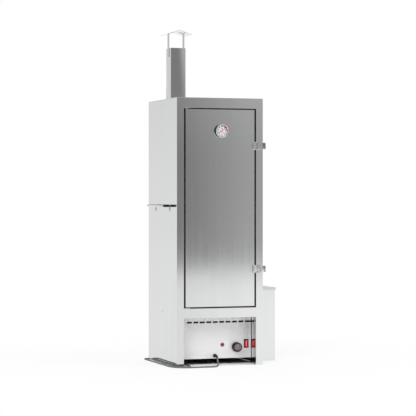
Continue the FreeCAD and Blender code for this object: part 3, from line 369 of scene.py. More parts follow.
def piece_from(name, points, faces, finish, body, replaced, sharp):
    """points is an (n, 3) array in metres in the row frame; faces is a list of index tuples. An
    edge between faces that meet at more than sharp degrees stays sharp."""
    mesh = bpy.data.meshes.new(name)
    mesh.from_pydata(np.asarray(points, float).tolist(), [], [tuple(int(i) for i in f) for f in faces])
    work = bmesh.new()
    work.from_mesh(mesh)
    bmesh.ops.remove_doubles(work, verts=work.verts, dist=1e-7)
    bmesh.ops.dissolve_degenerate(work, dist=1e-8, edges=work.edges)
    bmesh.ops.recalc_face_normals(work, faces=work.faces)
    work.to_mesh(mesh)
    work.free()
    mesh.shade_smooth()
    mesh.set_sharp_from_angle(angle=math.radians(sharp))
    return register(placed(name, mesh), finish, body, replaced)


def grid_faces(rows, columns, round_rows=False, round_columns=True, first=0):
    """Quads of a rows x columns grid of points, which may close on itself either way."""
    i = np.arange(rows if round_rows else rows - 1)
    j = np.arange(columns if round_columns else columns - 1)
    i, j = np.meshgrid(i, j, indexing="ij")
    below, right = (i + 1) % rows, (j + 1) % columns
    corners = (i * columns + j, i * columns + right, below * columns + right, below * columns + j)
    return (np.stack(corners, -1).reshape(-1, 4) + first).tolist()


class Shape:
    """Points and faces gathered from several surfaces, for one piece."""

    def __init__(self):
        self.points, self.faces = np.zeros((0, 3)), []

    def surface(self, points, faces):
        first = len(self.points)
        self.points = np.vstack((self.points, np.asarray(points, float).reshape(-1, 3)))
        self.faces += [[index + first for index in face] for face in faces]
        return self

    def slab(self, near, far):
        """Two like outlines, point for point, with walls between them and flat ends."""
        count = len(near)
        walls = [[i, (i + 1) % count, (i + 1) % count + count, i + count] for i in range(count)]
        ends = [list(range(count)), list(range(2 * count - 1, count - 1, -1))]
        return self.surface(np.vstack((near, far)), walls + ends)

    def piece(self, name, finish, body, slot, replaced=(), sharp=35.0):
        return piece_from(name, self.points, self.faces, finish, body, replaced, sharp)


print("piece maker ready")

# %% [markdown]
# A real sheet edge is never perfectly sharp: it catches a thin line of light. The flat parts of
# the CAD model have the right shape already, so a copy of each is merged, its coplanar triangles
# are joined, and a small Bevel with hardened normals rounds its edges.


# %% Softened sheets
SLOT_OF = {row["node"]: row["material_slot"] for row in frame["record"]["subparts"]}
BODY_OF = {node: body for body, nodes in frame["record"]["behaviour"]["bodies"].items() for node in nodes}


def softened(node, finish, width=0.0004, segments=2, limit=28.0):
    """A copy of a CAD node with rounded edges, on the same body, in place of the node."""
    source = frame["nodes"][node]
    mesh = source.data.copy()
    mesh.name = "soft_" + node
    work = bmesh.new()
    work.from_mesh(mesh)
    bmesh.ops.remove_doubles(work, verts=work.verts, dist=2e-6)
    bmesh.ops.dissolve_limit(work, angle_limit=math.radians(0.5), verts=work.verts, edges=work.edges,
                             delimit={"NORMAL"})
    work.to_mesh(mesh)
    work.free()
    mesh.shade_smooth()
    mesh.set_sharp_from_angle(angle=math.radians(limit))
    piece = placed("soft_" + node, mesh)
    bevel = piece.modifiers.new("edge", "BEVEL")
    bevel.width, bevel.segments = width, segments
    bevel.limit_method, bevel.angle_limit = "ANGLE", math.radians(limit)
    bevel.use_clamp_overlap = True
    bevel.harden_normals = True
    return register(piece, finish, BODY_OF[node], [node])


SHEETS = (
    (steel_upright, 0.0010, ("outer_casing", "front_frame", "generator_casing")),
    (steel_upright, 0.0012, ("door_outer_panel",)),
    (steel_upright, 0.0004, ("flue_tube",)),
    (strap_steel, 0.0004, ("cap_straps",)),
    (steel_panel, 0.0004, ("control_panel",)),
    (steel_flat, 0.0006, ("roof_panel", "rain_cap", "generator_lid")),
    (lining_steel, 0.0003, ("plinth_lining",)),
    (polished_steel, 0.0003, ("door_pivots", "generator_lid_pin")),
    (polished_steel, 0.00035, ("latch_bases", "latch_lever_upper", "latch_lever_lower", "latch_keepers")),
    # The stop flange is dark with painted shade, so the door gap reads dark.
    (shade_dark_steel, 0.0004, ("door_stop_flange",)),
    # The plinth floor's black is painted shade, seen through the gap beneath the control panel.
    (black_enamel, 0.0004, ("plinth_floor",)),
    (chamber_steel, 0.0004, ("chamber_liner", "door_inner_panel", "rack_rails", "smoke_duct",
                             "ash_tray", "chip_hopper", "element_mounts", "water_pan")),
    (black_plastic, 0.0006, ("thermostat_body",)),
    (ceramic, 0.0006, ("terminal_block",)),
    (bronze, 0.0003, ("door_bushes",)),
)
for finish, width, names in SHEETS:
    for name in names:
        softened(name, finish, width)
print("softened", sum(len(row[2]) for row in SHEETS), "sheet pieces")
for name, finish in (("cabinet_insulation", wool), ("door_insulation", wool), ("door_seal", seal_rubber),
                     ("chip_igniter", heater), ("heating_element", heater)):
    for place in frame["nodes"][name].material_slots:
        place.material = finish

# %% [markdown]
# Turned fittings are a profile carried round an axis. A profile is a list of radius and height
# pairs, and its corners are rounded first, with a short arc that touches both sides, because
# nothing that comes off a lathe or out of a mould has a knife edge.


# %% Turned fittings
def rounded(profile, radius, steps=3):
    """Each inner corner becomes a quadratic arc from radius before it to radius after it."""
    spots = np.asarray(profile, float)
    out = [spots[:1]]
    t = np.linspace(0.0, 1.0, steps + 1)[:, None]
    for a, b, c in zip(spots[:-2], spots[1:-1], spots[2:]):
        back, ahead = a - b, c - b
        reach = min(radius, 0.45 * np.linalg.norm(back), 0.45 * np.linalg.norm(ahead))
        start = b + back / np.linalg.norm(back) * reach
        end = b + ahead / np.linalg.norm(ahead) * reach
        out.append((1 - t) ** 2 * start + 2 * t * (1 - t) * b + t ** 2 * end)
    out.append(spots[-1:])
    return np.vstack(out)


def towards_front(centre, across, up, out):
    """across along +X, up along +Z and out along -Y, from a centre."""
    return np.stack((centre[0] + across, centre[1] - out, centre[2] + up), -1)


def turned_front(shape, profile, centre, steps=72, flutes=None):
    """Radius r and height h of the profile at angle a give (r cos a, r sin a) and out = h.
    flutes(a, h) may take a little off the radius. A profile that closes on itself is a ring and
    has no flat ends."""
    angle = np.arange(steps) * 2 * math.pi / steps
    radius, height = np.repeat(profile[:, :1], steps, 1), np.repeat(profile[:, 1:], steps, 1)
    turn = np.repeat(angle[None, :], len(profile), 0)
    if flutes:
        radius = radius - flutes(turn, height)
    points = towards_front(centre, radius * np.cos(turn), radius * np.sin(turn), height)
    faces = grid_faces(len(profile), steps)
    is_ring = np.allclose(profile[0], profile[-1])
    for end in (0, len(profile) - 1):
        if profile[end, 0] > 1e-6 and not is_ring:
            faces.append(list(range(end * steps, (end + 1) * steps)))
    return shape.surface(points, faces)


def ring_of(profile, radius, steps=3):
    """A rounded profile that closes on itself."""
    line = rounded(profile, radius, steps)
    return np.vstack((line, line[:1]))


def middle(node, y=None):
    """The centre of a node's box, or of its outline on the plane at y."""
    low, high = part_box(node)
    centre = np.array([(a + b) / 2 for a, b in zip(low, high)])
    if y is not None:
        centre[1] = y
    return centre


def front_of(node):
    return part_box(node)[0][1]


def back_of(node):
    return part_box(node)[1][1]


def half_width(node):
    low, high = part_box(node)
    return (high[0] - low[0]) / 2


def corners_of(node):
    return [np.array(corner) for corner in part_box(node)]


print("lathe ready")

# %% [markdown]
# The dial thermometer is the one instrument on the door: a black cup, a rolled steel bezel, a
# white enamelled face with a printed scale and a red zone, a red hand, and a glass. Its scale
# is real geometry a tenth of a millimetre thick.


# %% Thermometer
dial_radius = half_width("thermometer_dial")
bezel_radius = half_width("thermometer_bezel")
door_face = front_of("door_outer_panel")
on_door = middle("thermometer_dial", door_face)
case_depth = door_face - front_of("thermometer_bezel")


def flat_ring(shape, centre, inner, outer, start, end, low, high, steps=48):
    """A thin printed band between two radii and two clock angles, low to high above centre."""
    angle = np.linspace(start, end, steps)
    rows = []
    for radius, height in ((inner, low), (inner, high), (outer, high), (outer, low)):
        rows.append(towards_front(centre, radius * np.sin(angle), radius * np.cos(angle),
                                  np.full(steps, height)))
    faces = grid_faces(4, steps, True, False)
    faces += [[row * steps + end for row in range(4)] for end in (0, steps - 1)]
    return shape.surface(np.stack(rows), faces)


def printed_bars(shape, centre, angles, inner, outer, width, low, high):
    """Radial tick marks: thin boxes from inner to outer at each clock angle."""
    for angle in angles:
        radial = np.array((math.sin(angle), math.cos(angle)))
        side = np.array((math.cos(angle), -math.sin(angle))) * width / 2
        flat = np.array((radial * inner - side, radial * inner + side,
                         radial * outer + side, radial * outer - side))
        shape.slab(*[towards_front(centre, flat[:, 0], flat[:, 1], np.full(4, h)) for h in (low, high)])
    return shape


def lettered(shape, text, size, centre, across, up, low, bold=0.0001, thick=0.00008):
    """Generic figures as a thin mesh, centred on a spot of a face that looks along -Y. bold is
    how far each stroke is widened on either side."""
    curve = bpy.data.curves.new("figures", "FONT")
    curve.body, curve.size, curve.align_x, curve.align_y = text, size, "CENTER", "CENTER"
    curve.extrude, curve.resolution_u, curve.offset = thick / 2, 3, bold
    holder = bpy.data.objects.new("figures", curve)
    mesh = bpy.data.meshes.new_from_object(holder)
    flat = np.zeros(len(mesh.vertices) * 3)
    mesh.vertices.foreach_get("co", flat)
    flat = flat.reshape(-1, 3)
    points = towards_front(centre, flat[:, 0] + across, flat[:, 1] + up, flat[:, 2] + thick / 2 + low)
    shape.surface(points, [list(face.vertices) for face in mesh.polygons])
    bpy.data.objects.remove(holder)
    return shape


SWEEP = math.radians(240)
SCALE_START = -SWEEP / 2


def clock(share):
    """The clock angle of a share of the scale."""
    return SCALE_START + SWEEP * share


cup = rounded([(0.0, 0.0), (0.0085, 0.0), (0.0085, 0.003), (bezel_radius - 0.0045, 0.004),
               (bezel_radius - 0.0026, 0.008), (bezel_radius - 0.0026, case_depth - 0.0045),
               (bezel_radius - 0.0036, case_depth - 0.0045), (bezel_radius - 0.0036, 0.0065),
               (0.0, 0.0065)], 0.0008)
turned_front(Shape(), cup, on_door).piece("thermometer_cup", black_enamel, "door", "black_metal",
                                          ["thermometer_case"])
rolled = ring_of([(bezel_radius - 0.0025, case_depth - 0.0085), (bezel_radius, case_depth - 0.0085),
                  (bezel_radius, case_depth - 0.0022), (bezel_radius - 0.0016, case_depth),
                  (bezel_radius - 0.0043, case_depth - 0.0016), (bezel_radius - 0.0047, case_depth - 0.0042),
                  (bezel_radius - 0.0025, case_depth - 0.0042)], 0.0009, 4)
turned_front(Shape(), rolled, on_door, 96).piece("thermometer_rim", polished_steel, "door", "polished_steel",
                                                 ["thermometer_bezel"])
plate_at = middle("thermometer_dial", front_of("thermometer_dial"))
plate = ring_of([(0.0011, -0.0008), (dial_radius - 0.0002, -0.0008), (dial_radius - 0.0002, 0.0),
                 (0.0011, 0.0)], 0.0002)
turned_front(Shape(), plate, plate_at).piece("thermometer_face", dial_enamel, "door", "dial_white",
                                             ["thermometer_dial"])
INK_LOW, INK_HIGH = 0.00001, 0.0001
STEPS, DEGREES_A_STEP = 6, 50
tick_end, figure_radius = dial_radius - 0.0016, dial_radius - 0.0078
ticks = Shape()
for marks, inner, width in ((5 * STEPS, dial_radius - 0.0034, 0.0003),
                            (STEPS, dial_radius - 0.0046, 0.0006)):
    printed_bars(ticks, plate_at, [clock(i / marks) for i in range(marks + 1)], inner, tick_end,
                 width, INK_LOW, INK_HIGH)
for i in range(STEPS + 1):
    a = clock(i / STEPS)
    lettered(ticks, str(DEGREES_A_STEP * i), 0.0046, plate_at, figure_radius * math.sin(a),
             figure_radius * math.cos(a), INK_LOW)
lettered(ticks, "°C", 0.0082, plate_at, 0.0, 0.0088, INK_LOW, 0.00045)
ticks.piece("thermometer_scale", dial_ink, "door", "black_metal")
zone = flat_ring(Shape(), plate_at, dial_radius - 0.0052, dial_radius - 0.0012, clock(0.56), clock(0.83),
                 INK_LOW - 0.000005, INK_HIGH - 0.00004)
zone.piece("thermometer_red_zone", dial_red, "door", "pointer_red")
pane = rounded([(0.0, -0.0008), (dial_radius - 0.0003, -0.0008), (dial_radius - 0.0003, 0.0006),
                (0.0, 0.0014)], 0.0004)
lens_at = middle("thermometer_lens")
turned_front(Shape(), pane, lens_at).piece("thermometer_glass", glass, "door", "glass", ["thermometer_lens"])
print("thermometer", round(2 * bezel_radius * 1000, 1), "mm across")

# %% [markdown]
# The hand rides on its own body. It is a long tapered blade with a short tail and a domed hub,
# pointing to the cold end of the scale at rest, at lower left.


# %% Thermometer hand
def blade(shape, centre, angle, outline, low, high):
    """A flat outline of (across, along) pairs, turned to a clock angle."""
    flat = np.asarray(outline, float)
    across = flat[:, 0] * math.cos(angle) + flat[:, 1] * math.sin(angle)
    up = -flat[:, 0] * math.sin(angle) + flat[:, 1] * math.cos(angle)
    return shape.slab(*[towards_front(centre, across, up, np.full(len(flat), h)) for h in (low, high)])


hand = Shape()
shoulder = dial_radius * 0.62
blade(hand, plate_at, SCALE_START,
      [(-0.0014, -0.010), (0.0014, -0.010), (0.0017, 0.0), (0.0009, shoulder),
       (0.0, dial_radius - 0.0052), (-0.0009, shoulder), (-0.0017, 0.0)], 0.0006, 0.0010)
hub = rounded([(0.0, 0.0004), (0.0026, 0.0004), (0.0026, 0.0012), (0.0016, 0.0021), (0.0, 0.0023)], 0.0004)
turned_front(hand, hub, plate_at, 32)
stub = np.array([(0.0, -0.003), (0.0008, -0.003), (0.0008, 0.0006), (0.0, 0.0006)])
turned_front(hand, stub, plate_at, 20)
hand.piece("thermometer_hand", dial_red, "pointer", "pointer_red", ["thermometer_pointer"])
print("hand ready")

# %% [markdown]
# The controls sit in the recess: a fluted thermostat knob with a red heat band and a grey disc
# in its dished face, a red rocker in a black bezel, a red pilot lamp, and the gland where the
# lead comes out. The flutes are part of the turned surface itself: the radius dips twenty-four
# times as the angle goes round.


# %% Thermostat knob
knob_at = middle("thermostat_knob", back_of("thermostat_knob"))
knob_radius = half_width("thermostat_knob")
knob_deep = back_of("thermostat_knob") - front_of("thermostat_knob")
KNOB_RIM, DISH, FLUTES = 0.005, 0.001, 24


def knob_flutes(angle, height):
    """Depth = 1 mm x (half of 1 + cos 24 a) squared. It fades in 3 to 5 mm from the panel and out
    over the last 0.8 mm, where the rim is round."""
    fade = np.clip((height - 0.003) / 0.002, 0.0, 1.0) * np.clip((knob_deep - height) / 0.0008, 0.0, 1.0)
    return 0.001 * (0.5 + 0.5 * np.cos(FLUTES * angle)) ** 2 * fade


face_radius = knob_radius - KNOB_RIM
side = np.linspace(0.0016, knob_deep - 0.0014, 18)
knob_profile = np.vstack((
    [(0.0, 0.0), (knob_radius - 0.0006, 0.0), (knob_radius - 0.0001, 0.0005)],
    np.stack((knob_radius - 0.001 * side / knob_deep, side), -1),
    rounded([(knob_radius - 0.001, knob_deep - 0.0013), (knob_radius - 0.0011, knob_deep - 0.0002),
             (knob_radius - 0.0022, knob_deep), (face_radius, knob_deep - 0.0001),
             (face_radius - 0.001, knob_deep - DISH), (0.0, knob_deep - DISH)], 0.0007)))
knob = turned_front(Shape(), knob_profile, knob_at, 288, knob_flutes)
knob.piece("thermostat_grip", black_plastic, "knob", "black_plastic", ["thermostat_knob"])
dish_at = (knob_at[0], knob_at[1] - knob_deep + DISH, knob_at[2])
skin = rounded([(0.0, -0.0003), (face_radius - 0.0012, -0.0003), (face_radius - 0.0012, 0.0002),
                (0.0, 0.0002)], 0.0001)
turned_front(Shape(), skin, dish_at, 96).piece("knob_face", face_plastic, "knob", "black_plastic")
heat_band = flat_ring(Shape(), dish_at, face_radius - 0.0034, face_radius - 0.0012, -SWEEP / 2 - 0.35,
                      SWEEP / 2 + 0.35, 0.0001, 0.0004, 96)
heat_band.piece("knob_heat_band", scale_red, "knob", "pointer_red")
disc = rounded([(0.0, 0.0001), (0.0105, 0.0001), (0.0105, 0.0007), (0.0099, 0.0009), (0.0, 0.0009)], 0.0002)
turned_front(Shape(), disc, dish_at).piece("knob_disc", grey_enamel, "knob", "polished_steel")
figures = Shape()
printed_bars(figures, dish_at, [clock(i / 10) for i in range(11)], 0.0112, 0.0128, 0.0005, 0.0001, 0.0003)
printed_bars(figures, dish_at, [0.0], 0.0045, 0.0098, 0.0012, 0.0008, 0.00095)
figures.piece("knob_scale", white_ink, "knob", "dial_white")
print("knob", round(2000 * knob_radius, 1), "mm")

# %% [markdown]
# The rocker is one cap of clear red plastic, hollow on both halves so that a fingertip finds
# either end, and its middle is lighter with a painted highlight and a painted glow. Its face is a
# height over a grid of width and length, which gives the two hollows and their soft edges in one formula.


# %% Rocker switch
rocker_x = middle("rocker_switch")[0]
# In millimetres.
ROCKER_W, ROCKER_H = half_width("rocker_switch") * 2000, 28.0


def red_with_painted_highlight(name, middle_x, reach):
    """Clear red plastic with a painted highlight down its middle: a lighter band in the colour and a
    painted glow in the emission. The band's share falls evenly to nothing at reach from the middle."""
    finish = Finish(name)
    x = finish.part(finish.place(), 0)
    # The band is a painted highlight, and the emission below is a painted glow.
    band = (1 - (x - middle_x).absolute() / reach).clipped()
    haze = finish.noise((300.0, 300.0, 120.0), 2.0, 0.5)
    red = finish.mixed(band, (0.62, 0.008, 0.03), (1.0, 0.2, 0.19))
    painted_glow = finish.mixed(band, (0.03, 0.0, 0.0), (0.8, 0.14, 0.12))
    return finish.close(Base_Color=red, Emission_Color=painted_glow, Emission_Strength=0.45,
                        Roughness=0.14 + 0.08 * haze, Coat_Weight=0.4,
                        Normal=finish.bump(haze, 0.00001, 0.5))


# The rocker's lighter middle is a painted highlight with a painted glow.
rocker_red = red_with_painted_highlight("rocker_red", rocker_x, 0.0042)


def rocker_surface():
    """Face height over the rocker, in millimetres: two gently hollow halves that meet at the
    middle. With u across and v up, each from -1 to 1, out = base + tilt v + hollow v squared, and
    high powers of u and v round the edges."""
    width, tall = ROCKER_W, ROCKER_H
    columns, rows = 17, 41
    u = np.linspace(-1, 1, columns)
    v = np.linspace(-1, 1, rows)
    vv, uu = np.meshgrid(v, u, indexing="ij")
    out = 4.5 + 1.25 * vv + 3.75 * vv ** 2 - 0.55 * np.abs(uu) ** 8 - 0.5 * np.abs(vv) ** 14
    x = uu * width / 2 * (1 - 0.015 * np.abs(vv) ** 14)
    z = vv * tall / 2 * (1 - 0.008 * np.abs(uu) ** 8)
    top = np.stack((x, z, out), -1)
    base = np.stack((uu * width / 2 * 0.99, vv * (tall / 2 - 1.5), 1.4 * np.abs(vv) - 1.0), -1)
    faces = grid_faces(rows, columns, False, False)
    count = rows * columns
    points = np.vstack((top.reshape(-1, 3), base.reshape(-1, 3))) / 1000
    under = [[i + count for i in reversed(face)] for face in faces]
    ring = ([j for j in range(columns)] + [i * columns + columns - 1 for i in range(1, rows)]
            + [count - 1 - j for j in range(1, columns)]
            + [(rows - 1 - i) * columns for i in range(1, rows - 1)])
    walls = [[ring[i], ring[i] + count, ring[(i + 1) % len(ring)] + count, ring[(i + 1) % len(ring)]]
             for i in range(len(ring))]
    return points, faces + under + walls


points, faces = rocker_surface()
PIVOT_DEPTH = 0.0045
rocker_mid = (rocker_x, front_of("rocker_bezel") + PIVOT_DEPTH, middle("rocker_bezel")[2])
rocker = Shape().surface(towards_front(rocker_mid, points[:, 0], points[:, 1], points[:, 2]), faces)
rocker.piece("rocker_cap", rocker_red, "rocker", "red_plastic", ["rocker_switch"], 40.0)
softened("rocker_bezel", black_plastic, 0.0005, 3)
print("rocker ready")

# %% [markdown]
# The pilot lamp is a cut red jewel in a steel rim, and the gland is a nylon nut whose domed end
# grips the lead. Both are turned, and their facets and flats are dips in the radius, as on the
# knob, so one lathe function makes all three.


# %% Pilot lamp and cable gland
panel_face = front_of("control_panel")
lamp_at = middle("lamp_bezel", panel_face)
lamp_radius = half_width("lamp_bezel")
LAMP_RIM = 0.0012
lens_radius = lamp_radius - LAMP_RIM
rim = ring_of([(lens_radius - 0.0002, -0.004), (lens_radius, -0.004), (lens_radius, 0.0),
               (lamp_radius, 0.0), (lamp_radius, 0.0012), (lamp_radius - 0.0006, 0.0022),
               (lens_radius, 0.0021), (lens_radius - 0.0002, 0.0)], 0.0004)
turned_front(Shape(), rim, lamp_at).piece("lamp_rim", polished_steel, "cabinet", "polished_steel",
                                          ["lamp_bezel"])
jewel_radius = lens_radius - 0.0003
arc = np.linspace(0, math.pi / 2, 14)
jewel = np.vstack(([(0.0, -0.003), (jewel_radius, -0.003)],
                   np.stack((jewel_radius * np.cos(arc) ** 0.8, 0.0016 + 0.0026 * np.sin(arc)), -1)))


def jewel_facets(angle, height):
    """A cut jewel: the radius dips 0.5 mm twelve times round the dome."""
    return 0.0005 * np.abs(np.cos(6 * angle)) * (height > 0.001)


cut = turned_front(Shape(), jewel, lamp_at, 96, jewel_facets)
cut.piece("lamp_jewel", lamp_red, "cabinet", "red_plastic", ["lamp_lens"])
bulb = rounded([(0.0, 0.0035), (0.0024, 0.0035), (0.0024, 0.0041), (0.0019, 0.0046), (0.0, 0.0046)], 0.0002)
turned_front(Shape(), bulb, lamp_at, 32).piece("lamp_eye", black_plastic, "cabinet", "black_plastic")
gland_at = middle("cable_gland", panel_face)
gland_radius = half_width("cable_gland")
NOSE = panel_face - front_of("cable_gland")


def gland_flats(angle, height):
    """Six flats on the nut near the panel: radius x (1 - cos 30 / cos of the angle from the
    nearest flat's middle)."""
    hexagon = gland_radius * (1 - math.cos(math.pi / 6) / np.cos((angle % (math.pi / 3)) - math.pi / 6))
    nut = (height > -0.0002) & (height < 0.0046)
    return np.where(nut, hexagon, 0.0)


barrel = rounded([(0.0, -0.013), (gland_radius - 0.0026, -0.013), (gland_radius - 0.0026, -0.0004),
                  (gland_radius, 0.0), (gland_radius, 0.0045), (gland_radius - 0.0017, 0.0048),
                  (gland_radius - 0.0022, 0.0075), (0.0049, NOSE), (0.0034, NOSE)], 0.0004)
gland = turned_front(Shape(), barrel, gland_at, 96, gland_flats)
gland.piece("gland_nut", black_plastic, "cabinet", "black_plastic", ["cable_gland"])
print("lamp and gland ready")

# %% [markdown]
# The mains lead is one smooth spline whose control points follow the route of the CAD lead: out
# of the gland, down to the floor, round the front left corner, back along the left side, a long
# narrow fold, forward again, and in beneath the cabinet. The rest lies in a small coil behind
# the plinth's front, with the plug beside it.


# %% Mains lead
# The route is in millimetres from the datum, which is in metres.
DATUM = np.array((-0.0385, -0.20525, 0.0))
CORD_D = 0.007
low = CORD_D / 2 * 1000
ROUTE = [
    (3, 72, 38), (3, 52, 38), (-2, 28, 20), (-14, -12, 5), (-29, -47, low), (-54, -60, low),
    (-92, -56, low), (-146, -60, low), (-196, -54, low), (-226, -14, low), (-232, 44, low),
    (-228, 102, low), (-233, 160, low), (-230, 218, low), (-234, 276, low), (-232, 328, low),
    (-234, 366, low), (-232, 387, low), (-224.4, 396, low), (-213.6, 396, low), (-206, 387, low),
    (-207, 366, low), (-206, 328, low), (-207, 274, low), (-206, 218, low), (-208, 162, low),
    (-206.5, 106, low), (-208, 54, low), (-213, 16, low), (-199, -26, low), (-162, -30, low),
    (-138, -2, low), (-133, 44, low), (-126, 96, low), (-118, 146, low), (-113, 194, low),
    (-112, 238, low)]
COIL_AT, COIL_RADIUS, TURNS = (-70.0, 262.0), 43.4, 2.5


def coil_points():
    """Turn n of the coil lies n diameters up: clockwise from the left, twelve points a turn, with the
    radius breathing by a millimetre so that the turns aren't perfect copies."""
    step = np.arange(1, int(TURNS * 12) - 1)
    angle = math.pi - step * 2 * math.pi / 12
    radius = COIL_RADIUS + 1.0 * np.sin(step * 0.9) - 0.4
    layer = np.clip((step - 9.5) / 3, 0, 1) + np.clip((step - 21.5) / 3, 0, 1)
    height = low + layer * CORD_D * 1000
    return np.stack((COIL_AT[0] + radius * np.cos(angle), COIL_AT[1] + radius * np.sin(angle), height), -1)


TO_PLUG = [(-27.4, 256, 18.2), (-27.5, 243, 19), (-27.5, 234, 19)]


def lead_curve():
    route = np.vstack((np.array(ROUTE), coil_points(), np.array(TO_PLUG))) / 1000 + DATUM
    data = bpy.data.curves.new("mains_lead", "CURVE")
    data.dimensions = "3D"
    spline = data.splines.new("NURBS")
    spline.points.add(len(route) - 1)
    spline.points.foreach_set("co", np.hstack((route, np.ones((len(route), 1)))).ravel())
    spline.order_u = 3
    spline.use_endpoint_u = True
    spline.resolution_u = 10
    return data


def along(data):
    """The points of the spline itself, as Blender gives them for a curve with no bevel."""
    holder = bpy.data.objects.new("line", data)
    mesh = bpy.data.meshes.new_from_object(holder)
    line = np.zeros(len(mesh.vertices) * 3)
    mesh.vertices.foreach_get("co", line)
    bpy.data.objects.remove(holder)
    bpy.data.meshes.remove(mesh)
    return line.reshape(-1, 3)


lead_data = lead_curve()
lead_line = along(lead_data)
lead_data.bevel_depth, lead_data.bevel_resolution = CORD_D / 2, 4
lead_data.use_fill_caps = True
lead = placed("mains_lead", lead_data)
register(lead, grey_sheath, "cabinet", ["mains_cord", "cord_coil"])

# %% [markdown]
# A tapered sleeve keeps the lead from kinking where it leaves the gland, and the plug's own tail
# does the same at the far end. The sleeve follows the first part of the lead's line: rings of
# points square to the line, whose radius falls from the gland outwards, with grooves in it.


# %% Strain relief and plug
def tube_along(shape, line, radius, steps=24):
    """Rings square to a line of points: centre + radius (side cos a + lift sin a)."""
    line = np.asarray(line, float)
    tangent = np.gradient(line, axis=0)
    tangent /= np.linalg.norm(tangent, axis=1)[:, None]
    guide = np.array((1.0, 0.0, 0.0)) if abs(tangent[0][0]) < 0.9 else np.array((0.0, 0.0, 1.0))
    lift = np.zeros_like(line)
    for i, t in enumerate(tangent):
        guide = guide - t * guide.dot(t)
        guide /= np.linalg.norm(guide)
        lift[i] = guide
    side = np.cross(tangent, lift)
    angle = np.arange(steps) * 2 * math.pi / steps
    radius = np.broadcast_to(radius, (len(line),))[:, None, None]
    ring = (side[:, None, :] * np.cos(angle)[None, :, None]
            + lift[:, None, :] * np.sin(angle)[None, :, None])
    points = line[:, None, :] + radius * ring
    faces = grid_faces(len(line), steps)
    faces += [list(range(steps)), list(range((len(line) - 1) * steps, len(line) * steps))]
    return shape.surface(points, faces)


def evenly(line, start, end, count):
    """Points at equal distances along a line, between two lengths of it."""
    reach = np.concatenate(([0.0], np.cumsum(np.linalg.norm(np.diff(line, axis=0), axis=1))))
    at = np.linspace(start, end, count)
    return np.stack([np.interp(at, reach, line[:, axis]) for axis in range(3)], -1)


SLEEVE, SLEEVE_RINGS = 0.03, 61
sleeve_line = evenly(lead_line, 0.0003, SLEEVE, SLEEVE_RINGS)
share = np.linspace(0, 1, SLEEVE_RINGS)
grooves = 0.0005 * (np.sin(share * 2 * math.pi * 7) > 0.55) * (share > 0.08) * (share < 0.92)
sleeve_radius = 0.0062 - 0.0019 * share - grooves
sleeve = tube_along(Shape(), sleeve_line, sleeve_radius)
sleeve.piece("lead_sleeve", black_plastic, "cabinet", "black_plastic", (), 50.0)
plug_centre = middle("mains_plug", back_of("mains_plug"))
plug_radius = half_width("mains_plug")


def plug_grips(angle, height):
    """The moulded body has grip ribs round its waist, and the tail has rings cut in it."""
    rings = 0.0006 * (np.sin(height * 2 * math.pi / 0.0042) > 0.3) * (height > 0.003) * (height < 0.028)
    ribs = 0.0012 * (0.5 + 0.5 * np.cos(24 * angle)) * (height > 0.040) * (height < 0.0525)
    return rings + ribs


tail = np.stack((np.linspace(0.0044, 0.0064, 60), np.linspace(0.0, 0.030, 60)), -1)
shell = rounded([(0.0064, 0.0301), (0.0105, 0.0375), (0.0168, 0.0455), (plug_radius - 0.0012, 0.0530),
                 (plug_radius - 0.0012, 0.0552), (plug_radius, 0.0562), (plug_radius, 0.0738),
                 (0.0, 0.074)], 0.0012)
body_profile = np.vstack(([(0.0, 0.0)], tail, shell))
plug = turned_front(Shape(), body_profile, plug_centre, 120, plug_grips)
pin = rounded([(0.0024, 0.0738), (0.0024, 0.0915), (0.0017, 0.0928), (0.0, 0.093)], 0.0005)
plug.piece("plug_body", black_plastic, "cabinet", "black_plastic", ["mains_plug"])
pins = Shape()
for offset in (-0.0095, 0.0095):
    turned_front(pins, pin, plug_centre + np.array((offset, 0.0, 0.0)), 24)
pins.piece("plug_pins", brass, "cabinet", "polished_steel")
print("sleeve and plug ready")

# %% [markdown]
# The racks are welded wire: a hoop with rounded corners and straight rods laid across it, each
# end melted into the hoop. The carrying handles are bent bar on two small foot plates. Both are
# tubes along a line, so one function makes them all.


# %% Rods
def bent_line(corners, radius, closed=False, steps=8):
    """Straight runs with each corner replaced by a true arc of the given radius."""
    spots = np.asarray(corners, float)
    count = len(spots)
    out = []
    t = np.linspace(0.0, 1.0, steps + 1)[:, None]
    for i in range(count):
        if not closed and i in (0, count - 1):
            out.append(spots[i:i + 1])
            continue
        before, here, after = spots[i - 1], spots[i], spots[(i + 1) % count]
        u = (before - here) / np.linalg.norm(before - here)
        w = (after - here) / np.linalg.norm(after - here)
        half = math.acos(float(np.clip(u.dot(w), -1, 1))) / 2
        reach = radius / math.tan(half)
        start, end = here + u * reach, here + w * reach
        centre = here + (u + w) / np.linalg.norm(u + w) * radius / math.sin(half)
        a, b = start - centre, end - centre
        sweep = math.pi - 2 * half
        out.append(centre + (np.sin((1 - t) * sweep) * a + np.sin(t * sweep) * b) / math.sin(sweep))
    line = np.vstack(out)
    return np.vstack((line, line[:1])) if closed else line


rod_steel = brushed_steel("rod_steel", (0.66, 0.66, 0.65), 0.18, "Y", 0.000005)


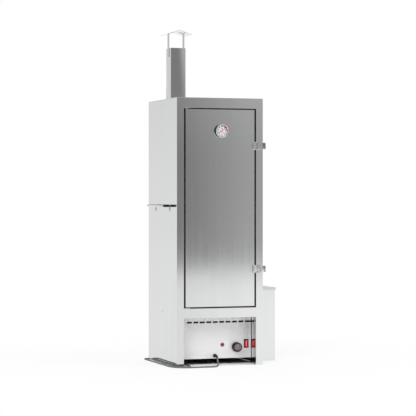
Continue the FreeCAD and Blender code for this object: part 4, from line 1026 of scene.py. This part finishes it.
def rack_piece(node):
    """A hoop of 6 mm wire, with eleven rods of 3 mm from front to back and one from side to side.
    Near its ends a rod swells into its weld."""
    low, high = corners_of(node)
    hoop, wire = 0.003, 0.0015
    z = low[2] + hoop
    x0, x1, y0, y1 = low[0] + hoop, high[0] - hoop, low[1] + hoop, high[1] - hoop
    shape = Shape()
    ring = bent_line([(x0, y0, z), (x1, y0, z), (x1, y1, z), (x0, y1, z)], 0.009, True)
    ring = np.vstack((ring[-2:-1], ring))[1:]
    tube_along(shape, ring, hoop, 16)
    for x in np.linspace(x0, x1, 13)[1:-1]:
        run = np.linspace((x, y0, z), (x, y1, z), 9)
        weld = wire + 0.0009 * np.exp(-(np.linspace(-1, 1, 9) ** 2 - 1) ** 2 * 60)
        tube_along(shape, run, weld, 10)
    middle_y = (y0 + y1) / 2
    tube_along(shape, np.linspace((x0, middle_y, z), (x1, middle_y, z), 9), wire, 10)
    return shape.piece("wire_" + node, rod_steel, BODY_OF[node], SLOT_OF[node], [node])


for node in ("rack_lower", "rack_middle", "rack_upper"):
    rack_piece(node)


BAR_RADIUS, FOOT_THICK, FOOT_HALF = 0.005, 0.002, 0.0065


def handle_piece(node, side):
    """A bent bar on two foot plates, each with the domed head of its screw below the bar."""
    low, high = corners_of(node)
    radius, foot, half = BAR_RADIUS, FOOT_THICK, FOOT_HALF
    z = high[2] - radius
    wall, out = (high[0], low[0] + radius) if side < 0 else (low[0], high[0] - radius)
    y0, y1 = low[1] + half, high[1] - half
    shape = Shape()
    line = bent_line([(wall, y0, z), (out, y0, z), (out, y1, z), (wall, y1, z)], 0.014, False, 14)
    tube_along(shape, line, radius, 28)
    for y in (y0, y1):
        corners = [(y - half, low[2]), (y + half, low[2]), (y + half, high[2]), (y - half, high[2])]
        near = bent_line([(wall, a, b) for a, b in corners], 0.004, True, 6)[:-1]
        shape.slab(near, near + np.array((side * foot, 0.0, 0.0)))
        screw_z = low[2] + 0.0085
        head = np.linspace((wall + side * foot, y, screw_z), (wall + side * (foot + 0.0018), y, screw_z), 6)
        tube_along(shape, head, 0.0037 * np.sqrt(1.02 - np.linspace(0, 0.92, 6) ** 2), 20)
    return shape.piece("bar_" + node, polished_steel, "cabinet", "polished_steel", [node])


def sleeve_piece(node, side):
    """A moulded sleeve on each leg, from the foot plate to the bend: the leg's own line for 28 mm,
    0.5 mm larger in radius, with rounded ends."""
    low, high = corners_of(node)
    radius, count = BAR_RADIUS, 30
    z = high[2] - radius
    wall = high[0] if side < 0 else low[0]
    shape = Shape()
    for y in (low[1] + FOOT_HALF, high[1] - FOOT_HALF):
        line = np.linspace((wall + side * 0.0021, y, z), (wall + side * 0.03, y, z), count)
        ends = np.clip(np.minimum(np.arange(count), np.arange(count - 1, -1, -1)) / 2.0, 0.0, 1.0)
        tube_along(shape, line, radius + 0.0001 + 0.0004 * np.sqrt(1 - (1 - ends) ** 2), 28)
    return shape.piece("sleeves_" + node, black_plastic, "cabinet", "black_plastic")


for node, side in (("carry_handle_left", -1), ("carry_handle_right", 1)):
    handle_piece(node, side)
    sleeve_piece(node, side)
print("racks and handles ready")

# %% [markdown]
# The toggle latches are drawn wire, small pins and riveted plates. The CAD model holds several
# rivets in one node, so the separate solids are found first, by walking along edges from vertex
# to vertex, and the box of each gives a finer head its place and size.


# %% Latch wire and rivets
def islands(node):
    """Boxes of the separate solids in one CAD node, as (low, high) corners."""
    work = bmesh.new()
    work.from_mesh(frame["nodes"][node].data)
    bmesh.ops.remove_doubles(work, verts=work.verts, dist=2e-6)
    seen, found = set(), []
    for start in work.verts:
        if start.index in seen:
            continue
        stack, group = [start], []
        seen.add(start.index)
        while stack:
            vertex = stack.pop()
            group.append(tuple(vertex.co))
            for edge in vertex.link_edges:
                other = edge.other_vert(vertex)
                if other.index not in seen:
                    seen.add(other.index)
                    stack.append(other)
        found.append((np.min(group, 0), np.max(group, 0)))
    work.free()
    return found


def bail_piece(node):
    """The drawn wire of a toggle latch: the box of the CAD bail gives the loop."""
    low, high = corners_of(node)
    wire = 0.0014
    y = (low[1] + high[1]) / 2
    x0, x1 = low[0] + wire, high[0] - wire
    z0, z1 = low[2] + wire, high[2] - wire
    turned_in = 0.0033
    line = bent_line([(x1, y, z0 + turned_in), (x1, y, z0), (x0, y, z0), (x0, y, z1), (x1, y, z1),
                      (x1, y, z1 - turned_in)], 0.0016, False, 8)
    return tube_along(Shape(), line, wire, 18).piece("wire_" + node, polished_steel, BODY_OF[node],
                                                     SLOT_OF[node], [node])


bail_piece("latch_bail_upper")
bail_piece("latch_bail_lower")


def keeper_tabs():
    """Each keeper has a thin tab that laps over the gap onto the frame: a plate with its outline
    along the sheet and its thickness out of the door."""
    shape = Shape()
    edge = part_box("door_outer_panel")[1][0]
    back, front = door_face - 0.00015, door_face - 0.0016
    for low_corner, high_corner in islands("latch_keepers"):
        z0, z1 = low_corner[2] + 0.0008, high_corner[2] - 0.0008
        x0, x1 = edge - 0.0015, edge + 0.0078
        corners = [(x0, front, z0), (x1, front, z0), (x1, front, z1), (x0, front, z1)]
        near = bent_line(corners, 0.0012, True, 5)[:-1]
        shape.slab(near, near + np.array((0.0, back - front, 0.0)))
    return shape.piece("keeper_tabs", polished_steel, "door", "polished_steel")


def domed(shape, centre, direction, radius, height, steps=28):
    """A rivet head: a quarter ellipse turned about an axis that leaves the sheet."""
    share = np.linspace(0, 1, 9)
    line = np.asarray(centre) + np.asarray(direction)[None, :] * (share[:, None] * height)
    return tube_along(shape, line, radius * np.sqrt(1.0001 - (share * 0.985) ** 2), steps)


keeper_tabs()
heads = Shape()
for low_corner, high_corner in islands("rivets"):
    size = high_corner - low_corner
    spot = (low_corner + high_corner) / 2
    radius, height = float(max(size[1], size[2])) / 2, float(size[0])
    # A small head faces away from the flue's axis. A large one faces right where x is over
    # 0.1 m, and left elsewhere.
    outward = 1.0 if spot[0] > (0.1 if radius > 0.004 else middle("flue_tube")[0]) else -1.0
    base = spot.copy()
    base[0] = low_corner[0] if outward > 0 else high_corner[0]
    domed(heads, base, (outward, 0.0, 0.0), radius, height)
heads.piece("rivet_heads", polished_steel, "cabinet", "polished_steel", ["rivets"])
latch_pins = Shape()
for low_corner, high_corner in islands("latch_pins"):
    spot = (low_corner + high_corner) / 2
    radius = float(high_corner[0] - low_corner[0]) / 2
    run = np.linspace((spot[0], spot[1], low_corner[2]), (spot[0], spot[1], high_corner[2]), 5)
    tube_along(latch_pins, run, radius * np.array((0.75, 0.98, 0.98, 0.98, 0.75)), 20)
latch_pins.piece("latch_pin_rods", polished_steel, "cabinet", "polished_steel", ["latch_pins"])
softened("thermometer_stem", polished_steel, 0.0003)
print("latch wire, pins and rivets ready")

# %% [markdown]
# The studio is a white floor and a white surround, as a shop's picture has. A sheet of satin
# steel shows what stands in front of it, so a large grey card stands behind the camera, seen
# only in reflections: it darkens the upper door and leaves the white floor in the lower part.


# %% Floor
WHITE = (1.0, 1.0, 1.0, 1.0)


def kinds_of_ray(finish):
    """1 for a ray from the lens, off metal or through glass, in that order, and 0 for others."""
    path = finish.tree.nodes.new("ShaderNodeLightPath")
    names = ("Is Camera Ray", "Is Glossy Ray", "Is Transmission Ray")
    return [Value(finish, path.outputs[name]) for name in names]


def floor_finish():
    """White to the lens, to metal and to glass, with a share of plain diffuse white that keeps the
    shadow. That share fades out between 0.6 and 1.6 m from the cabinet, so the far floor is as
    white as the surround. Metal sees it lit from the right: 0.89, plus 0.14 as its bearing from
    the cabinet, x / -y, goes from 0.22 to 0.38, less 0.04 towards the horizon. Beneath the cabinet
    only the diffuse share is left, so the plinth stays dark."""
    finish = Finish("floor_white")
    camera_ray, glossy_ray, clear_ray = kinds_of_ray(finish)
    spot = finish.add("ShaderNodeTexCoord", output="Object")
    x, y = finish.part(spot, 0), finish.part(spot, 1)
    distance = finish.add("ShaderNodeVectorMath", {"operation": "LENGTH"}, spot, output=1)
    low_c, high_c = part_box("outer_casing")
    under = x.band(low_c[0] + 0.002, high_c[0] - 0.002) * y.band(low_c[1] + 0.004, high_c[1] - 0.002)
    near = 1 - (distance - 0.6).clipped()
    shown = (camera_ray + glossy_ray + clear_ray).clipped() * (1 - under) * (1 - 0.15 * near)
    towards_right = ((x / (0 - y).at_least(0.3) - 0.22) / 0.16).clipped()
    lit = 0.89 + 0.14 * towards_right - 0.04 * ((distance - 5.0) / 25.0).clipped()
    level = 1 - glossy_ray * (1 - lit)
    fibre = finish.noise((30.0, 30.0, 30.0), 2.0, 0.5)
    paper = finish.mixed(fibre, (0.86, 0.86, 0.86), (0.9, 0.9, 0.9))
    plain = finish.add("ShaderNodeBsdfDiffuse", None, Color=paper)
    bright = finish.add("ShaderNodeEmission", None, Color=WHITE, Strength=level)
    return finish.surface(finish.add("ShaderNodeMixShader", None, shown, plain, bright))


def stage_plane(name, corners, finish):
    mesh = bpy.data.meshes.new(name)
    mesh.from_pydata(corners, [], [(0, 1, 2, 3)])
    mesh.materials.append(finish)
    plane = placed(name, mesh)
    return plane


FLOOR = 60.0
stage_plane("floor", [(-FLOOR, -FLOOR, 0), (FLOOR, -FLOOR, 0), (FLOOR, FLOOR, 0), (-FLOOR, FLOOR, 0)],
            floor_finish())
print("floor", 2 * FLOOR, "m square")

# %% [markdown]
# The card is a plane that glows with its own grey, so no lamp has to be aimed at it. Only glossy
# rays see it, so it adds no light to the room.


# %% Grey card
CARD_Y, CARD_LOW, CARD_HIGH, CARD_HALF = -9.2, 0.02, 9.0, 9.0
CARD_TONE = 0.165


def card_finish():
    """Tone = 0.165 + 0.26 for the metre to the right of 2.4 m + 0.072 for the 0.6 m above 1.2 m:
    the room is lighter on that side and higher up."""
    finish = Finish("grey_card")
    spot = finish.add("ShaderNodeTexCoord", output="Object")
    across, height = finish.part(spot, 0), finish.part(spot, 2)
    above = ((height - 1.2) / 0.6).clipped()
    tone = CARD_TONE + 0.26 * (across - 2.4).clipped() + 0.072 * above
    return finish.surface(finish.add("ShaderNodeEmission", None, Color=WHITE, Strength=tone))


card_corners = [(-CARD_HALF, CARD_Y, CARD_LOW), (CARD_HALF, CARD_Y, CARD_LOW),
                (CARD_HALF, CARD_Y, CARD_HIGH), (-CARD_HALF, CARD_Y, CARD_HIGH)]
card = stage_plane("grey_card", card_corners, card_finish())
card.visible_camera = card.visible_diffuse = card.visible_shadow = False
card.visible_transmission = card.visible_volume_scatter = False
print("card from", CARD_LOW, "to", CARD_HIGH, "m")

# %% [markdown]
# The surround is white to the lens and through glass, and grey to everything else, so the
# picture's ground is clean and the shaded sides stay soft. To metal it darkens with height, as a
# room does. Three large discs of light shade the form gently, and metal doesn't mirror them.


# %% World and lamps
world_data = bpy.data.worlds.new("studio")
scene.world = world_data
studio = Finish("studio", world_data)
AMBIENT, HORIZON = 0.62, 0.85
camera_ray, glossy_ray, clear_ray = kinds_of_ray(studio)
rise = studio.part(studio.add("ShaderNodeTexCoord", output="Generated"), 2)
seen_by_metal = HORIZON - 0.25 * (4.4 * rise).clipped()
level = (AMBIENT + (1 - AMBIENT) * (camera_ray + clear_ray).clipped()
         + (seen_by_metal - AMBIENT) * glossy_ray)
backdrop = studio.add("ShaderNodeBackground", None, Color=WHITE, Strength=level)
studio.add("ShaderNodeOutputWorld", None, Surface=backdrop)


def soft_lamp(name, place, target, size, power):
    data = bpy.data.lights.new(name, "AREA")
    data.shape, data.size, data.energy = "DISK", size, power
    lamp = placed(name, data)
    lamp.location = place
    lamp.rotation_euler = (Vector(target) - Vector(place)).to_track_quat("-Z", "Y").to_euler()
    lamp.visible_glossy = False


soft_lamp("key", (-3.2, -4.2, 4.6), (0, 0, 0.6), 3.0, 190.0)
soft_lamp("fill", (4.0, -3.0, 3.0), (0, 0, 0.6), 3.0, 80.0)
soft_lamp("back", (1.5, 4.5, 3.6), (0, 0, 0.6), 3.0, 60.0)
scene.view_settings.view_transform = "Standard"
print("studio ready")

# %% [markdown]
# The last step brings the scene's matrices up to date.


bpy.context.view_layer.update()
